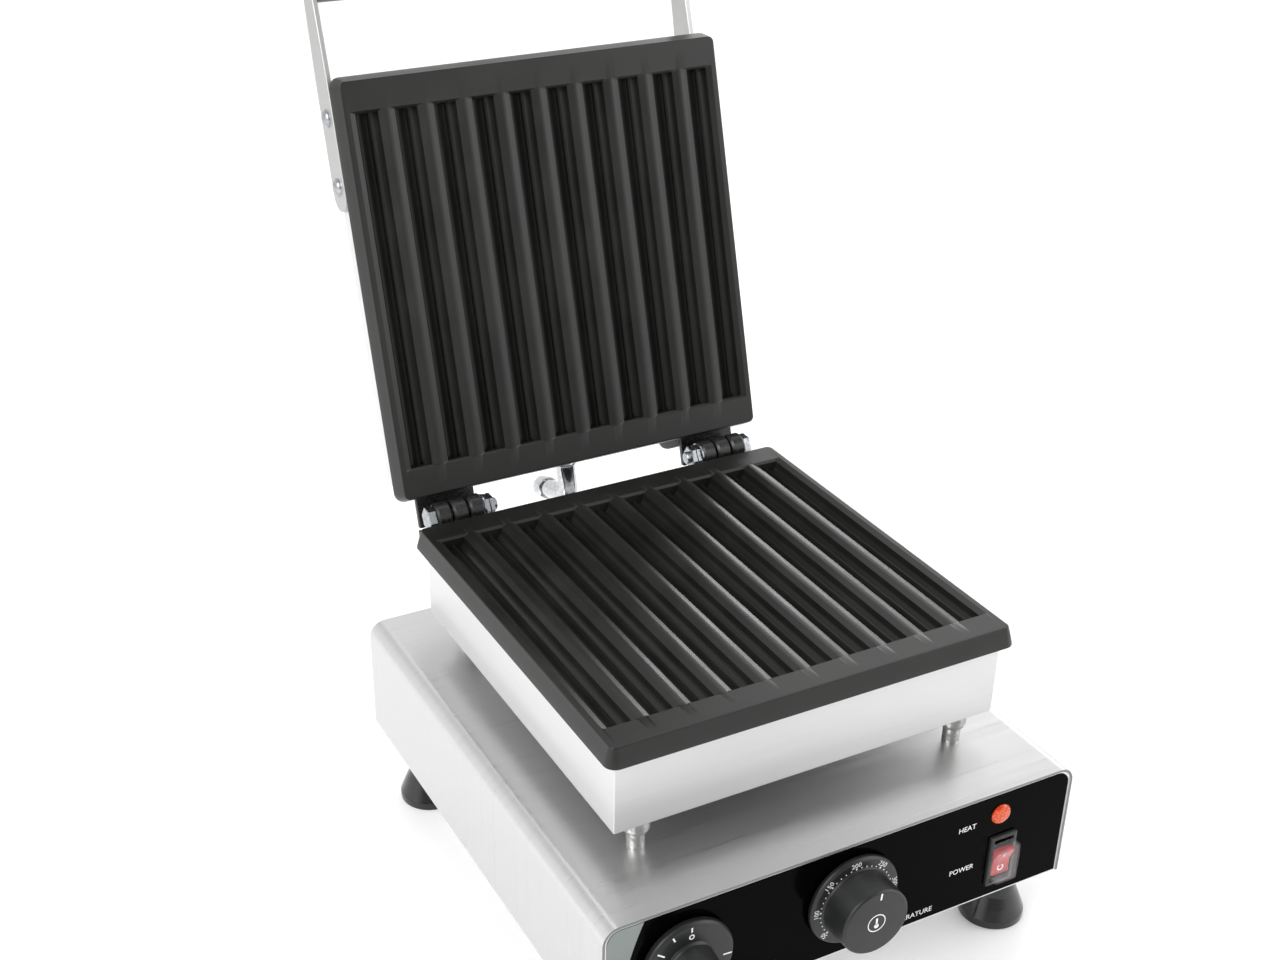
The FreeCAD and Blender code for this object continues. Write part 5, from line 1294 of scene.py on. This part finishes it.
class BAKER_OT_stage(bpy.types.Operator):
    """Sets the pale floor, soft lights and the camera"""

    bl_idname = "baker.stage"
    bl_label = "Stage"

    def execute(self, context):
        scene = context.scene
        # A matt white sweep, which glows a little so that its far end stays white.
        settings = {"Roughness": 0.55, "Base Color": linear("#fbfbfb")}
        settings.update({"Emission Color": (1, 1, 1, 1), "Emission Strength": 0.14})
        material, tree, surface, place = new_finish("studio_floor", settings)
        roughened(tree, surface, grain(tree, place, 40, 2.0), 0.5, 0.6)
        reach = 14.0
        mesh = bpy.data.meshes.new("floor")
        corners = [(a * reach, b * reach, 0) for a, b in ((-1, -1), (1, -1), (1, 1), (-1, 1))]
        mesh.from_pydata(corners, [], [(0, 1, 2, 3)])
        mesh.materials.append(material)
        floor = bpy.data.objects.new("floor", mesh)
        scene.collection.objects.link(floor)

        world = bpy.data.worlds.new("studio")
        world.use_nodes = True
        tree = world.node_tree
        toward = add_node(tree, "ShaderNodeTexCoord").outputs["Generated"]
        # The walls of the room are bright up to about 20 degrees, the ceiling is darker.
        up = add_node(tree, "ShaderNodeSeparateXYZ", {}, {0: toward}).outputs[2]
        total = ranged(tree, up, 1.05, 0.5, 0.35, 0.9)
        # Each patch: where it is, how much light it adds, and how wide it is as cosines of its rim and core.
        patches = (
            ((-0.86, -0.2, 0.47), 0.8, 0.84, 0.92),
            ((0.9, -0.1, 0.42), 0.6, 0.84, 0.92),
            ((-0.46, -0.8, 0.4), -0.6, 0.5, 0.9),
            ((0.66, 0.73, 0.14), 4.5, 0.965, 0.99),
        )
        for middle, amount, rim, core in patches:
            near = add_node(tree, "ShaderNodeVectorMath", {"operation": "DOT_PRODUCT", 1: middle}, {0: toward})
            patch = ranged(tree, near.outputs["Value"], 0.0, amount, rim, core)
            total = add_node(tree, "ShaderNodeMath", {"operation": "ADD"}, {0: total, 1: patch}).outputs[0]
        background = tree.nodes["Background"]
        background.inputs[0].default_value = (1, 1, 1, 1)
        tree.links.new(total, background.inputs[1])
        scene.world = world

        # Each soft light: its place, the point it faces, its width in metres and its power in watts.
        lights = (
            ("key_left", (-1.6, -0.6, 1.5), (0, 0, 0.15), 1.2, 26),
            ("fill_right", (1.7, -1.2, 1.2), (0, 0, 0.2), 1.4, 12),
            ("top_back", (0.4, 1.0, 2.2), (0, 0.1, 0.2), 1.8, 10),
        )
        for name, stand, target, wide, watts in lights:
            data = bpy.data.lights.new(name, "AREA")
            data.shape, data.size, data.energy = "SQUARE", wide, watts
            light = bpy.data.objects.new(name, data)
            light.location = stand
            light.rotation_euler = (Vector(target) - Vector(stand)).to_track_quat("-Z", "Y").to_euler()
            scene.collection.objects.link(light)

        # The camera stands to the front left and looks down about 29 degrees.
        data = bpy.data.cameras.new("view")
        data.lens, data.sensor_width = 49.43, 36.0
        data.shift_x, data.shift_y = 0.0276, 0.0414
        data.clip_start, data.clip_end = 0.05, 50
        camera = bpy.data.objects.new("view", data)
        right = Vector((0.88610, -0.46344, 0.00746)).normalized()
        back = Vector((-0.40670, -0.76968, 0.49213)).normalized()
        up = back.cross(right).normalized()
        right = up.cross(back)
        turn = Matrix((right, up, back)).transposed().to_4x4()
        stand = Vector((-458.0, -581.4, 674.1)) * MM + Vector(BOX_ORIGIN)
        camera.matrix_world = Matrix.Translation(stand) @ turn
        scene.collection.objects.link(camera)
        scene.camera = camera
        scene.view_settings.view_transform = "Standard"
        return {"FINISHED"}


class BAKER_PT_panel(bpy.types.Panel):
    """Lists the builders and their sizes in the sidebar"""

    bl_idname = "BAKER_PT_panel"
    bl_label = "Stick waffle baker"
    bl_space_type = "VIEW_3D"
    bl_region_type = "UI"
    bl_category = "Baker"

    def draw(self, context):
        layout = self.layout
        for operator in OPERATORS:
            layout.operator(operator.bl_idname)
        for name in GROUPS:
            group = getattr(context.scene, name)
            box = layout.box()
            box.label(text=type(group).__name__)
            for prop in group.__annotations__:
                box.prop(group, prop)


GROUPS = {
    "baker_box": BoxSizes,
    "baker_plate": PlateSizes,
    "baker_lid": LidSizes,
    "baker_controls": ControlSizes,
    "baker_finishes": Finishes,
}
OPERATORS = (
    BAKER_OT_finishes,
    BAKER_OT_box,
    BAKER_OT_feet,
    BAKER_OT_pillars,
    BAKER_OT_pan,
    BAKER_OT_plates,
    BAKER_OT_lid_cover,
    BAKER_OT_handle,
    BAKER_OT_hinges,
    BAKER_OT_lead_outlet,
    BAKER_OT_thermostat,
    BAKER_OT_timer,
    BAKER_OT_lamp,
    BAKER_OT_switch,
    BAKER_OT_labels,
    BAKER_OT_stage,
)


def register():
    for group in GROUPS.values():
        bpy.utils.register_class(group)
    for name, group in GROUPS.items():
        setattr(bpy.types.Scene, name, PointerProperty(type=group))
    for operator in OPERATORS:
        bpy.utils.register_class(operator)
    bpy.utils.register_class(BAKER_PT_panel)


def unregister():
    bpy.utils.unregister_class(BAKER_PT_panel)
    for operator in reversed(OPERATORS):
        bpy.utils.unregister_class(operator)
    for name, group in GROUPS.items():
        delattr(bpy.types.Scene, name)
        bpy.utils.unregister_class(group)


def main():
    register()
    for operator in OPERATORS:
        group, name = operator.bl_idname.split(".")
        getattr(getattr(bpy.ops, group), name)()
    bpy.context.view_layer.update()


if __name__ == "__main__":
    main()
